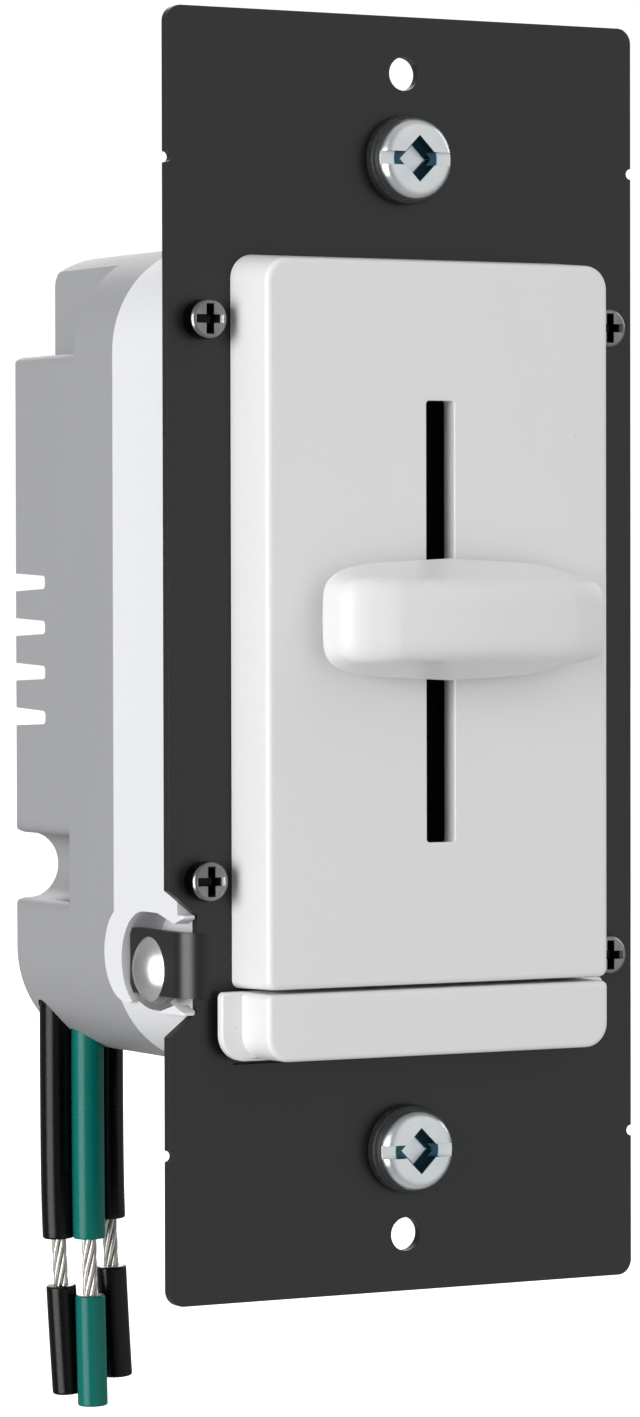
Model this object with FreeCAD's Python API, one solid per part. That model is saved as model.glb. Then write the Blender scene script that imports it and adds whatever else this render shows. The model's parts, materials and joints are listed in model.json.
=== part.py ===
"""Decorator slide control with an on/off push pad, built as separate pieces.

Frame: +X to the right seen from the front, +Y back into the wall box, +Z up.
Origin: centre of the mounting plate's back face, midway between the two box screws.
All sizes are in millimetres.
"""

import FreeCAD, Part

import math
import os

Vector = FreeCAD.Vector

# How far a leg or post starts inside the wall it grows from.
ROOT = 0.2

# --- Driving dimensions ---------------------------------------------------------------

# Mounting plate: the standard device strap.
PLATE_WIDTH = 44.45
PLATE_HEIGHT = 106.3
PLATE_THICK = 0.9
PLATE_CORNER = 1.3
PLATE_FRONT = -PLATE_THICK
BOX_SCREW_Z = 83.34 / 2
WALL_PLATE_SCREW_Z = 96.82 / 2
WALL_PLATE_HOLE_R = 1.4
# Half widths and half heights of the holes under the box screws, the clips, the pad's legs and
# its pusher.
BOX_SCREW_HOLE = (2.9, 2.0)
CLIP_WINDOW = (1.8, 1.3)
PAD_LEG_WINDOW = (1.0, 1.4)
PAD_LEG_WINDOW_Z = -30.2
PUSHER_WINDOW = (2.6, 1.9)
PUSHER_WINDOW_Z = -28.9
STEM_WAY_HALF = 1.9
EDGE_NICK_Z = 40.8
EDGE_NICK_DEPTH = 0.45
# The groove pressed into the plate along the pad's lower edge.
PAD_GROOVE_HALF = 16.3
PAD_GROOVE_TOP = -32.9
PAD_GROOVE_BOTTOM = -33.5
PAD_GROOVE_DEPTH = 0.5

# Ground tab, bent back from the notch in the plate's lower left edge.
NOTCH_X = -19.6
NOTCH_TOP = -21.1
NOTCH_BOTTOM = -29.0
NOTCH_SPLAY = 2.05
TAB_LEFT = -20.6
TAB_BEND_R = 2.4
TAB_TOP = -22.6
TAB_BOTTOM = -28.0
TAB_END = 9.3
RIVET_Y = 5.85
RIVET_Z = -25.9
RIVET_HEAD_R = 2.7
RIVET_DOME = 1.1
RIVET_SHANK_R = 1.45
RIVET_TAIL_R = 2.2
RIVET_TAIL_THICK = 0.6
RING_R = 2.9
RING_THICK = 0.6
TONGUE_HALF = 1.4
TERMINAL_WAY_X = (-19.85, -16.0)
BARREL_X = -18.1
BARREL_R = 1.5
BARREL_FRONT = 12.6
BARREL_REAR = 17.0

# Screws.
BOX_SCREW_R = 1.75
BOX_SCREW_NECK_R = 1.4
BOX_SCREW_NECK_END = 0.3
BOX_HEAD_R = 3.4
BOX_HEAD_THICK = 1.6
BOX_HEAD_ROUND = 1.0
BOX_SLOT_HALF = 0.55
BOX_SLOT_DEPTH = 0.8
# The square drive under the slot, by its half diagonal at the head's face and at its bottom.
BOX_DRIVE_REACH = 1.95
BOX_DRIVE_ROOT = 1.15
BOX_DRIVE_DEPTH = 1.45
BOX_SCREW_TIP = 16.0
WASHER_R = 3.7
WASHER_THICK = 1.1
HOUSING_SCREWS = ((-19.15, 27.6), (19.15, 27.6), (-19.15, -18.3), (19.15, -25.6))
HOUSING_SCREW_R = 1.05
HOUSING_HEAD_R = 1.65
HOUSING_HEAD_THICK = 1.7
HOUSING_HEAD_ROUND = 0.4
HOUSING_CROSS_REACH = 1.25
HOUSING_CROSS_DEPTH = 1.1
HOUSING_CROSS_WIDTH = 0.7
HOUSING_SCREW_TIP = 16.5
# How far a cross recess reaches out at its bottom, as a share of its reach at the face.
RECESS_ROOT = 0.45

# White face panel.
PANEL_BASE_HALF = 16.45
PANEL_FACE_HALF = 16.25
PANEL_TOP = 33.0
PANEL_BOTTOM = -27.2
PANEL_FACE = -6.9
PANEL_WALL = 1.8
# Corner radii, first of the lower and then of the upper corners.
PANEL_CORNERS = (0.7, 2.0)
PANEL_EDGE_R = 0.5
PANEL_TOP_DRAFT = 0.45
PANEL_CLIPS = ((-13.0, 29.0), (13.0, 29.0), (-13.0, -22.5), (13.0, -22.5))
PANEL_HOLLOW_CORNER = 1.2
# The panel's clips: half width, half thickness, how far the hook reaches out and where it ends.
CLIP_HALF_WIDTH = 1.4
CLIP_HALF_THICK = 0.6
CLIP_HOOK_REACH = 1.2
CLIP_END = 1.6
CLIP_GRIP = 0.03
SLOT_HALF = 1.33
SLOT_CORNER = 0.3
SLOT_LIP_WALL = 0.8
SLOT_LIP_DEPTH = 2.6
SLOT_CENTRE_Z = 2.85
SLOT_HALF_LENGTH = 18.2

# On/off push pad below the panel.
PAD_TOP = -27.65
PAD_BOTTOM = -32.95
PAD_BAR_CORNERS = (2.0, 0.6)
PAD_EDGE_R = 0.45
PAD_FLANGE_HALF = 18.3
PAD_FLANGE_BOTTOM = -33.1
PAD_FLANGE_CORNERS = (2.2, 0.5)
PAD_FLANGE_THICK = 0.9
PAD_STROKE = 0.8
PAD_GAP = 0.9
PAD_WALL = 1.5
PAD_HOLLOW_TOP = PAD_TOP - 1.1
PAD_HOLLOW_CORNER = 0.4
PAD_LEG_X = 13.6
PAD_LEG_HALF = 0.7
PAD_LEG_Z = (-30.9, -29.6)
PAD_HOOK_Z = (-31.3, -30.6)
PAD_LEG_END = 1.3
PAD_HOOK_GRIP = 0.05
PAD_POST_END = -2.6
PUSHER_HALF = 2.0
PUSHER_STEM_Z = (-30.0, -28.8)
PUSHER_FOOT_Z = (-30.0, -27.4)
PUSHER_FOOT_FRONT = -1.1
PAD_SPRING_X = 9.0
PAD_SPRING_Z = -30.0
PAD_SPRING_R = 1.2
PAD_POST_R = 0.7

# Slide knob, drawn a little above the slot's centre.
KNOB_REST_Z = 3.05
KNOB_HALF = 12.55
KNOB_BACK = -8.3
KNOB_FACE = -15.5
KNOB_CROWN = 1.1
KNOB_END_BOW = 0.8
# Half heights of the grip at its back and at its front, first in the middle, then at its ends.
KNOB_BACK_Z = (5.25, 4.0)
KNOB_FRONT_Z = (3.1, 3.85)
KNOB_SAG = (0.5, 0.15)
KNOB_TRAVEL = 15.0
STEM_HALF_X = 1.05
STEM_HALF_Z = 3.1
STEM_REAR = -3.4
LEVER_TIP = KNOB_BACK - 1.5
LEVER_FIT = 0.02

# Housing: white front frame and grey rear shell share one outline.
BODY_HALF = 21.0
BODY_TOP = 34.4
BODY_CORNER = 9.0
FRAME_WALL = 1.6
SHELL_WALL = 1.4
SPLIT_Y = 11.5
REAR_Y = 31.0
REAR_EDGE_R = 1.2
SHOULDER_X = 16.7
SHOULDER_Z = 25.6
SHOULDER_Y = 18.7
SHOULDER_INNER_R = 0.7
REAR_ROUND_R = 1.1
GROOVE_Y = 19.8
GROOVE_X = 17.0
GROOVE_HALF_Z = 2.8
BOSS_R = 2.4
VENT_TOP_Z = 6.15
VENT_PITCH = 3.86
VENT_COUNT = 4
VENT_HEIGHT = 1.6
VENT_INNER_HEIGHT = 1.1
VENT_INNER_R = 0.4
VENT_ROUND_R = 0.35
VENT_FRONT = 24.4
VENT_INNER_X = 16.6
POCKET_INNER_X = -17.6
POCKET_WALL = 1.0
POCKET_R = 4.1
POCKET_Y = 6.0
POCKET_Z = -25.2
FINGER_THICK = 0.75
FINGER_TIP_X = -19.7
FINGER_TIP_R = 0.34
FINGER_TIP_THICK = 0.25
FINGER_SHOULDER_Y = 0.6
FINGER_ROOT_Y = 3.6
BULGE_Y = 9.2
BULGE_Z = -24.75

# Circuit board and what it carries.
BOARD_HALF = 16.2
BOARD_TOP = 29.5
BOARD_BOTTOM = -31.4
BOARD_THICK = 1.6
BOARD_REAR = SPLIT_Y + BOARD_THICK
# The rests in front of the board and the posts behind it, and how far they lap its edges.
REST_LAP = 1.2
REST_FRONT = 8.5
POST_REAR = 17.5
REST_HALF_Z = 1.0
REST_Z = (13.0, -8.0)
SHEET_HALF = (16.4, 31.0)
SHEET_CORNER = 5.0
SHEET_THICK = 0.35
TRIAC_X = 11.0
TRIAC_HALF = 5.1
TRIAC_TAB_THICK = 1.3
TRIAC_TAB_HEIGHT = 15.6
TRIAC_BODY_Y = (0.9, 4.6)
TRIAC_BODY_HEIGHT = 9.2
TRIAC_PITCH = 2.54
TRIAC_RIVET_R = 1.5
TRIAC_BASE_Z = 0.0
TRIAC_HOLE_Z = TRIAC_BASE_Z + 13.0
CHOKE_X = 4.5
CHOKE_Z = 14.5
CHOKE_R = 10.5
CHOKE_HOLE_R = 4.0
CHOKE_REAR = 23.0
CORE_R = 9.3
CORE_HOLE_R = 5.2
CORE_Y = (14.6, 21.6)
TRIMMER_X = -11.25
TRIMMER_Z = 18.25
TRIMMER_HALF = 3.25
TRIMMER_FRONT = 7.3
AXIAL_LEAD_R = 0.3
AXIAL_LEAD_REACH = 1.4

# Slide potentiometer behind the plate.
POT_HALF = 4.6
POT_FRONT = 0.8
POT_REAR = 7.8
POT_HALF_LENGTH = 22.5
POT_SKIN = 0.5
POT_PIN_R = 0.4
POT_PIN_X = 2.5
POT_PIN_IN = 2.0
TRACK_FRONT = POT_REAR - 1.2
CARRIAGE_HALF = (3.7, 4.0)
CARRIAGE_REAR = 5.2
WIPER_HALF = 3.0
WIPER_THICK = 0.3
WIPER_FINGERS_X = (-2.0, 2.0)
LEVER_HALF_X = 0.6
LEVER_HALF_Z = 2.5

# Push switch behind the pad.
SWITCH_Z = -28.3
SWITCH_HALF_X = 5.0
SWITCH_HALF_Z = 3.0
SWITCH_FRONT = 3.4
SWITCH_WALL = 0.6
PLUNGER_HALF_X = 1.6
PLUNGER_HALF_Z = 1.4
PLUNGER_FRONT = 0.6
COLLAR_FRONT = 4.4
COLLAR_STEP = 0.5
NOSE_R = 0.6
NOSE_END = 7.6
BRIDGE_HALF = 3.9
BRIDGE_FRONT = 5.3
BRIDGE_REAR = 5.8
CONTACT_HALF = 1.0
CONTACT_INNER_X = 2.4
CONTACT_LEG_X = 4.0
CONTACT_LEG_HALF = 0.5
SWITCH_SPRING_R = 1.5
FIT_GAP = 0.05

# Leads: jacket, bared strands and the cut end piece of jacket left on the strands.
LEAD_R = 1.4
STRAND_R = 0.6
SLUG_R = 1.3
LEAD_HOLE_R = 1.5
LEAD_BLOCK_X = (-20.5, -11.4)
LEAD_BLOCK_FRONT = 24.4
LEAD_BLOCK_TOP = -28.5
# Each route goes from the block inside the shell down to the lead's end.
# The cuts are how far below its top the jacket and then the bare strands end.
LINE_ROUTE = ((-18.3, 28.05, -28.5), (-18.3, 28.1, -40.5), (-18.0, 28.3, -52.0), (-17.0, 28.6, -64.25))
GROUND_ROUTE = ((-16.2, 26.1, -28.5), (-16.2, 26.1, -41.0), (-16.1, 26.1, -53.0), (-15.85, 26.0, -65.1))
LOAD_ROUTE = ((-13.3, 28.1, -28.5), (-13.35, 28.1, -39.5), (-13.15, 28.15, -51.0), (-12.3, 28.3, -63.05))
LINE_CUTS = (22.15, 26.3)
GROUND_CUTS = (22.1, 27.0)
LOAD_CUTS = (20.7, 24.9)


# --- Helpers --------------------------------------------------------------------------


def box(x0, x1, y0, y1, z0, z1):
    """A block between two corners."""
    return Part.makeBox(x1 - x0, y1 - y0, z1 - z0, Vector(x0, y0, z0))


def rod(radius, start, end):
    """A round bar between two points."""
    a, b = Vector(*start), Vector(*end)
    return Part.makeCylinder(radius, (b - a).Length, a, b - a)


def rod_y(radius, x, z, y0, y1):
    """A round bar along Y."""
    return rod(radius, (x, y0, z), (x, y1, z))


def rounded_wire(x0, x1, z0, z1, corner, y):
    """A closed rectangle at depth y; corner is one radius, or the lower and the upper corners'."""
    low, high = corner if isinstance(corner, tuple) else (corner, corner)
    low_in, high_in = low * (1 - math.sqrt(0.5)), high * (1 - math.sqrt(0.5))
    corners = (
        ((x1 - low, z0), (x1 - low_in, z0 + low_in), (x1, z0 + low)),
        ((x1, z1 - high), (x1 - high_in, z1 - high_in), (x1 - high, z1)),
        ((x0 + high, z1), (x0 + high_in, z1 - high_in), (x0, z1 - high)),
        ((x0, z0 + low), (x0 + low_in, z0 + low_in), (x0 + low, z0)),
    )
    edges = []
    for index, points in enumerate(corners):
        a, middle, b = (Vector(px, y, pz) for px, pz in points)
        edges.append(Part.Arc(a, middle, b).toShape())
        following = corners[(index + 1) % len(corners)][0]
        edges.append(Part.makeLine(b, Vector(following[0], y, following[1])))
    return Part.Wire(edges)


def rounded_block(x0, x1, z0, z1, corner, y0, y1):
    """A rounded rectangle carried straight back from y0 to y1."""
    face = Part.Face(rounded_wire(x0, x1, z0, z1, corner, y0))
    return face.extrude(Vector(0, y1 - y0, 0))


def tapered_block(base, face, corner, y0, y1):
    """A rounded rectangle at y0 that narrows to another at y1; each is (x0, x1, z0, z1)."""
    wires = [rounded_wire(*base, corner, y0), rounded_wire(*face, corner, y1)]
    return Part.makeLoft(wires, True, True)


def slot_block(x, z, half_x, half_z, y0, y1):
    """A slot with round ends, longer along Z or along X as its half sizes say."""
    corner = min(half_x, half_z) - 0.01
    return rounded_block(x - half_x, x + half_x, z - half_z, z + half_z, corner, y0, y1)


def edges_at(shape, y):
    """The edges of a shape that lie wholly in the plane at depth y."""
    return [
        e for e in shape.Edges if abs(e.BoundBox.YMin - y) < 1e-4 and abs(e.BoundBox.YMax - y) < 1e-4
    ]


def joined(*shapes):
    """One solid from several that touch."""
    return shapes[0].multiFuse(list(shapes[1:])).removeSplitter()


def without(shape, *tools):
    """A shape with others cut from it."""
    return shape.cut(list(tools))


def pipe(radius, points):
    """A tube along straight runs joined by tangent arcs; its ends are flat."""
    path = [Vector(*p) for p in points]
    edges, last = [], path[0]
    for index in range(1, len(path) - 1):
        before, here, after = path[index - 1], path[index], path[index + 1]
        into, out = (here - before), (after - here)
        turn = into.getAngle(out)
        bend = 0.45 * min(into.Length, out.Length) / math.tan(turn / 2)
        trim = bend * math.tan(turn / 2)
        into.normalize()
        out.normalize()
        a, b = here - into * trim, here + out * trim
        toward = (out - into).normalize()
        middle = here + toward * (bend / math.cos(turn / 2) - bend)
        edges.append(Part.LineSegment(last, a).toShape())
        edges.append(Part.Arc(a, middle, b).toShape())
        print(f"  bend radius {bend:.1f}")
        last = b
    edges.append(Part.LineSegment(last, path[-1]).toShape())
    spine = Part.Wire(edges)
    ring = Part.Wire(Part.makeCircle(radius, path[0], path[1] - path[0]))
    tube = spine.makePipeShell([ring], True, True)
    expected = math.pi * radius**2 * spine.Length
    print(f"  tube length {spine.Length:.2f}, volume over section times length {tube.Volume / expected:.4f}")
    return tube


# --- Plate, ground tab and screws ------------------------------------------------------


def plate_outline():
    """The strap's blank, with the two edge nicks on each side."""
    half, top = PLATE_WIDTH / 2, PLATE_HEIGHT / 2
    blank = rounded_block(-half, half, -top, top, PLATE_CORNER, PLATE_FRONT, 0)
    nicks = [
        rod_y(EDGE_NICK_DEPTH, side * half, end * EDGE_NICK_Z, PLATE_FRONT - 1, 1)
        for side in (-1, 1)
        for end in (-1, 1)
    ]
    return without(blank, *nicks)


def ground_notch():
    """The tapered bite in the lower left edge that the tab's metal came from."""
    outside = -PLATE_WIDTH / 2 - 1
    points = (
        (outside, NOTCH_TOP + NOTCH_SPLAY + 0.8),
        (NOTCH_X, NOTCH_TOP),
        (NOTCH_X, NOTCH_BOTTOM),
        (outside, NOTCH_BOTTOM - NOTCH_SPLAY - 0.8),
    )
    corners = [Vector(x, PLATE_FRONT - 1, z) for x, z in points]
    return Part.Face(Part.makePolygon(corners + corners[:1])).extrude(Vector(0, 3, 0))


def ground_tab():
    """The tab bent out of the plate, its rivet hole, and the room its bend needs in the plate."""
    axis_x, axis_y = TAB_LEFT + TAB_BEND_R, PLATE_FRONT + TAB_BEND_R
    height = TAB_TOP - TAB_BOTTOM
    outer = Part.makeCylinder(TAB_BEND_R, height, Vector(axis_x, axis_y, TAB_BOTTOM))
    inner_r = TAB_BEND_R - PLATE_THICK
    inner = Part.makeCylinder(inner_r, height, Vector(axis_x, axis_y, TAB_BOTTOM))
    quarter = box(TAB_LEFT, axis_x, PLATE_FRONT, axis_y, TAB_BOTTOM, TAB_TOP)
    bend = outer.common(quarter).cut(inner)
    leaf = box(TAB_LEFT, TAB_LEFT + PLATE_THICK, axis_y, TAB_END, TAB_BOTTOM, TAB_TOP)
    leaf = leaf.common(pocket_shape(POCKET_R - 0.2, TAB_LEFT - 1, TAB_LEFT + 2, PLATE_FRONT))
    root = box(axis_x, axis_x + 1.0, PLATE_FRONT, 0, TAB_BOTTOM, TAB_TOP)
    hole_r = RIVET_SHANK_R + FIT_GAP
    hole = rod(hole_r, (TAB_LEFT - 1, RIVET_Y, RIVET_Z), (TAB_LEFT + 2, RIVET_Y, RIVET_Z))
    relief = box(TAB_LEFT - 2, axis_x, PLATE_FRONT - 1, 1, TAB_BOTTOM, TAB_TOP)
    return joined(bend, leaf, root), hole, relief


def clip_window(x, z, half_x, half_z):
    """A rectangular hole in the plate."""
    return box(x - half_x, x + half_x, PLATE_FRONT - 1, 1, z - half_z, z + half_z)


def mounting_plate():
    """The painted steel strap that holds everything and screws to the wall box."""
    through = (PLATE_FRONT - 1, 1)
    tab, tab_hole, tab_relief = ground_tab()
    cuts = [ground_notch(), tab_relief]
    for end in (-1, 1):
        cuts.append(rod_y(WALL_PLATE_HOLE_R, 0, end * WALL_PLATE_SCREW_Z, *through))
        cuts.append(slot_block(0, end * BOX_SCREW_Z, *BOX_SCREW_HOLE, *through))
    for x, z in HOUSING_SCREWS:
        cuts.append(rod_y(HOUSING_SCREW_R + 0.2, x, z, *through))
    for x, z in PANEL_CLIPS:
        cuts.append(clip_window(x, z, *CLIP_WINDOW))
    for side in (-1, 1):
        cuts.append(clip_window(side * PAD_LEG_X, PAD_LEG_WINDOW_Z, *PAD_LEG_WINDOW))
    cuts.append(clip_window(0, PUSHER_WINDOW_Z, *PUSHER_WINDOW))
    cuts.append(slot_block(0, SLOT_CENTRE_Z, STEM_WAY_HALF, SLOT_HALF_LENGTH + 0.9, *through))
    cuts.append(rod_y(TRIAC_RIVET_R + 0.05, TRIAC_X, TRIAC_HOLE_Z, *through))
    groove_floor = PLATE_FRONT + PAD_GROOVE_DEPTH
    cuts.append(
        box(
            -PAD_GROOVE_HALF, PAD_GROOVE_HALF, PLATE_FRONT - 1, groove_floor,
            PAD_GROOVE_BOTTOM, PAD_GROOVE_TOP,
        )
    )
    return joined(without(plate_outline(), *cuts), tab).cut(tab_hole)


def cross_recess(x, z, face):
    """The cross driven into a housing screw's head: two wedges that narrow inwards."""
    arm, depth, half_width = HOUSING_CROSS_REACH, HOUSING_CROSS_DEPTH, HOUSING_CROSS_WIDTH / 2
    root = arm * RECESS_ROOT
    wedges = []
    for turn in (0, 90):
        profile = ((-arm, 0), (arm, 0), (root, depth), (-root, depth))
        corners = [Vector(px, py, -half_width) for px, py in profile]
        wedge = Part.Face(Part.makePolygon(corners + corners[:1])).extrude(Vector(0, 0, 2 * half_width))
        wedge.rotate(Vector(0, 0, 0), Vector(0, 1, 0), turn)
        wedge.translate(Vector(x, face, z))
        wedges.append(wedge)
    return wedges[0].fuse(wedges[1])


def square_recess(z, face):
    """The tapered square socket in a box screw's head, with its corners up, down, left and right."""
    wires = []
    for reach, y in ((BOX_DRIVE_REACH, face), (BOX_DRIVE_ROOT, face + BOX_DRIVE_DEPTH)):
        corners = [Vector(x, y, z + dz) for x, dz in ((reach, 0), (0, reach), (-reach, 0), (0, -reach))]
        wires.append(Part.makePolygon(corners + corners[:1]))
    return Part.makeLoft(wires, True, True)


def mounting_screws():
    """Two captive screws, with a slot and a square socket in a low round head."""
    screws = []
    seat = PLATE_FRONT - WASHER_THICK
    face = seat - BOX_HEAD_THICK
    for end in (-1, 1):
        z = end * BOX_SCREW_Z
        head = rod_y(BOX_HEAD_R, 0, z, face, seat)
        head = head.makeFillet(BOX_HEAD_ROUND, edges_at(head, face))
        slot = box(
            -BOX_HEAD_R - 1, BOX_HEAD_R + 1, face - 1, face + BOX_SLOT_DEPTH,
            z - BOX_SLOT_HALF, z + BOX_SLOT_HALF,
        )
        neck = rod_y(BOX_SCREW_NECK_R, 0, z, seat, BOX_SCREW_NECK_END)
        thread = rod_y(BOX_SCREW_R, 0, z, BOX_SCREW_NECK_END, BOX_SCREW_TIP)
        screws.append(without(joined(head, neck, thread), slot, square_recess(z, face)))
    return Part.makeCompound(screws)


def screw_retaining_washers():
    """Two black fibre washers that keep the box screws captive."""
    washers = []
    for end in (-1, 1):
        ring = rod_y(WASHER_R, 0, end * BOX_SCREW_Z, PLATE_FRONT - WASHER_THICK, PLATE_FRONT)
        washers.append(ring.cut(rod_y(BOX_SCREW_NECK_R + 0.02, 0, end * BOX_SCREW_Z, -5, 2)))
    return Part.makeCompound(washers)


def housing_screws():
    """Four small black cross-head screws that clamp the frame and shell to the plate."""
    screws = []
    face = PLATE_FRONT - HOUSING_HEAD_THICK
    for x, z in HOUSING_SCREWS:
        head = rod_y(HOUSING_HEAD_R, x, z, face, PLATE_FRONT)
        head = head.makeFillet(HOUSING_HEAD_ROUND, edges_at(head, face))
        shank = rod_y(HOUSING_SCREW_R, x, z, PLATE_FRONT, HOUSING_SCREW_TIP)
        screws.append(joined(head, shank).cut(cross_recess(x, z, face)))
    return Part.makeCompound(screws)


def ground_rivet():
    """Domed rivet through the ground tab and its ring terminal."""
    sphere_r = (RIVET_HEAD_R**2 + RIVET_DOME**2) / (2 * RIVET_DOME)
    ball = Part.makeSphere(sphere_r, Vector(TAB_LEFT - RIVET_DOME + sphere_r, RIVET_Y, RIVET_Z))
    room = RIVET_HEAD_R + 1
    cap = ball.common(
        box(TAB_LEFT - 2, TAB_LEFT, RIVET_Y - room, RIVET_Y + room, RIVET_Z - room, RIVET_Z + room)
    )
    inner = TAB_LEFT + PLATE_THICK + RING_THICK
    shank = rod(RIVET_SHANK_R, (TAB_LEFT, RIVET_Y, RIVET_Z), (inner, RIVET_Y, RIVET_Z))
    tail = rod(RIVET_TAIL_R, (inner, RIVET_Y, RIVET_Z), (inner + RIVET_TAIL_THICK, RIVET_Y, RIVET_Z))
    return joined(cap, shank, tail)


def ground_ring_terminal():
    """Ring terminal behind the tab, with its barrel crimped on the green lead."""
    left = TAB_LEFT + PLATE_THICK
    low, high = RIVET_Z - TONGUE_HALF, RIVET_Z + TONGUE_HALF
    ring = rod(RING_R, (left, RIVET_Y, RIVET_Z), (left + RING_THICK, RIVET_Y, RIVET_Z))
    tongue = box(left, left + RING_THICK, RIVET_Y, BARREL_FRONT, low, high)
    step = box(left, BARREL_X, BARREL_FRONT - 0.8, BARREL_FRONT, low + 0.2, high - 0.2)
    barrel = rod(BARREL_R, (BARREL_X, BARREL_FRONT - 0.3, RIVET_Z), (BARREL_X, BARREL_REAR, RIVET_Z))
    hole = rod(RIVET_SHANK_R + 0.02, (left - 1, RIVET_Y, RIVET_Z), (left + 1, RIVET_Y, RIVET_Z))
    return joined(ring, tongue, step, barrel).cut(hole)


# --- Face panel, pad and knob ---------------------------------------------------------


def snap_leg(x, z, start, hook_side):
    """A leg through the plate, with a hook behind it that faces up or down."""
    left, right = x - CLIP_HALF_WIDTH, x + CLIP_HALF_WIDTH
    leg = box(left, right, start, CLIP_END, z - CLIP_HALF_THICK, z + CLIP_HALF_THICK)
    low, high = sorted((z, z + hook_side * CLIP_HOOK_REACH))
    hook = box(left, right, CLIP_GRIP, CLIP_END, low, high)
    return joined(leg, hook)


def slot_opening(grow, corner, y0, y1):
    """The slide slot's outline, grown by a margin, between two depths."""
    half, half_length = SLOT_HALF + grow, SLOT_HALF_LENGTH + grow
    low, high = SLOT_CENTRE_Z - half_length, SLOT_CENTRE_Z + half_length
    return rounded_block(-half, half, low, high, corner, y0, y1)


def face_panel():
    """The white drafted shell around the slide slot, clipped to the plate by four legs."""
    base = (-PANEL_BASE_HALF, PANEL_BASE_HALF, PANEL_BOTTOM, PANEL_TOP)
    face = (-PANEL_FACE_HALF, PANEL_FACE_HALF, PANEL_BOTTOM + 0.15, PANEL_TOP - PANEL_TOP_DRAFT)
    outer = tapered_block(base, face, PANEL_CORNERS, PLATE_FRONT, PANEL_FACE)
    outer = outer.makeFillet(PANEL_EDGE_R, edges_at(outer, PANEL_FACE))
    inner_face = PANEL_FACE + PANEL_WALL
    inset = PANEL_WALL
    hollow = rounded_block(
        -PANEL_FACE_HALF + inset, PANEL_FACE_HALF - inset,
        PANEL_BOTTOM + inset, PANEL_TOP - PANEL_TOP_DRAFT - inset, PANEL_HOLLOW_CORNER, inner_face, 1,
    )
    slot = slot_opening(0, SLOT_CORNER, PANEL_FACE - 1, 1)
    lip_corner = SLOT_CORNER + SLOT_LIP_WALL
    lip = slot_opening(SLOT_LIP_WALL, lip_corner, PANEL_FACE + PANEL_WALL / 2, PANEL_FACE + SLOT_LIP_DEPTH)
    shell = joined(without(outer, hollow), lip).cut(slot)
    legs = [snap_leg(x, z, inner_face - ROOT, 1 if z > 0 else -1) for x, z in PANEL_CLIPS]
    return joined(shell, *legs)


def push_pad():
    """The on/off pad: a flange, a raised drafted bar, two hooked guide legs and a pusher."""
    flange_rear = PLATE_FRONT - PAD_GAP
    flange_front = flange_rear - PAD_FLANGE_THICK
    flange = rounded_block(
        -PAD_FLANGE_HALF, PAD_FLANGE_HALF, PAD_FLANGE_BOTTOM, PAD_TOP, PAD_FLANGE_CORNERS,
        flange_front, flange_rear,
    )
    base = (-PANEL_BASE_HALF, PANEL_BASE_HALF, PAD_BOTTOM - 0.05, PAD_TOP)
    face = (-PANEL_FACE_HALF, PANEL_FACE_HALF, PAD_BOTTOM + 0.05, PAD_TOP - 0.05)
    bar = tapered_block(base, face, PAD_BAR_CORNERS, flange_front, PANEL_FACE)
    bar = bar.makeFillet(PAD_EDGE_R, edges_at(bar, PANEL_FACE))
    inner_face = PANEL_FACE + PAD_WALL
    hollow = rounded_block(
        -PANEL_FACE_HALF + PAD_WALL, PANEL_FACE_HALF - PAD_WALL,
        PAD_BOTTOM + PAD_WALL, PAD_HOLLOW_TOP, PAD_HOLLOW_CORNER, inner_face, 1,
    )
    return joined(flange, bar).cut(hollow).multiFuse(pad_inner_parts(inner_face - ROOT)).removeSplitter()


def pad_inner_parts(root):
    """The pad's hooked legs, spring posts and pusher, which start at depth root in its face."""
    pieces = []
    for side in (-1, 1):
        left, right = side * PAD_LEG_X - PAD_LEG_HALF, side * PAD_LEG_X + PAD_LEG_HALF
        pieces.append(box(left, right, root, PAD_LEG_END, *PAD_LEG_Z))
        pieces.append(box(left, right, PAD_HOOK_GRIP, PAD_LEG_END, *PAD_HOOK_Z))
        pieces.append(rod_y(PAD_POST_R, side * PAD_SPRING_X, PAD_SPRING_Z, root, PAD_POST_END))
    pusher_rear = PLUNGER_FRONT - FIT_GAP
    pieces.append(box(-PUSHER_HALF, PUSHER_HALF, root, pusher_rear, *PUSHER_STEM_Z))
    pieces.append(box(-PUSHER_HALF, PUSHER_HALF, PUSHER_FOOT_FRONT, pusher_rear, *PUSHER_FOOT_Z))
    return pieces


def pad_return_springs():
    """Two small compression springs that push the pad back out, as plain sleeves."""
    coils = []
    for side in (-1, 1):
        x = side * PAD_SPRING_X
        ring = rod_y(PAD_SPRING_R, x, PAD_SPRING_Z, PANEL_FACE + PAD_WALL, PLATE_FRONT)
        coils.append(ring.cut(rod_y(PAD_POST_R + 0.1, x, PAD_SPRING_Z, -9, 2)))
    return Part.makeCompound(coils)


def knob_plan():
    """The grip seen from above: a crowned front, bowed ends and a flat back, full height."""
    tallest, shoulder = KNOB_BACK_Z[0], KNOB_FACE + KNOB_CROWN
    corner_x, end_middle = KNOB_HALF - KNOB_END_BOW, (KNOB_BACK + shoulder) / 2
    front_right, back_right = Vector(corner_x, shoulder, 0), Vector(corner_x, KNOB_BACK, 0)
    front_left, back_left = Vector(-corner_x, shoulder, 0), Vector(-corner_x, KNOB_BACK, 0)
    edges = [
        Part.Arc(front_left, Vector(0, KNOB_FACE, 0), front_right).toShape(),
        Part.Arc(front_right, Vector(KNOB_HALF, end_middle, 0), back_right).toShape(),
        Part.makeLine(back_right, back_left),
        Part.Arc(back_left, Vector(-KNOB_HALF, end_middle, 0), front_left).toShape(),
    ]
    plan = Part.Face(Part.Wire(edges)).extrude(Vector(0, 0, 2 * tallest))
    plan.translate(Vector(0, 0, KNOB_REST_Z - tallest))
    return plan


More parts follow.
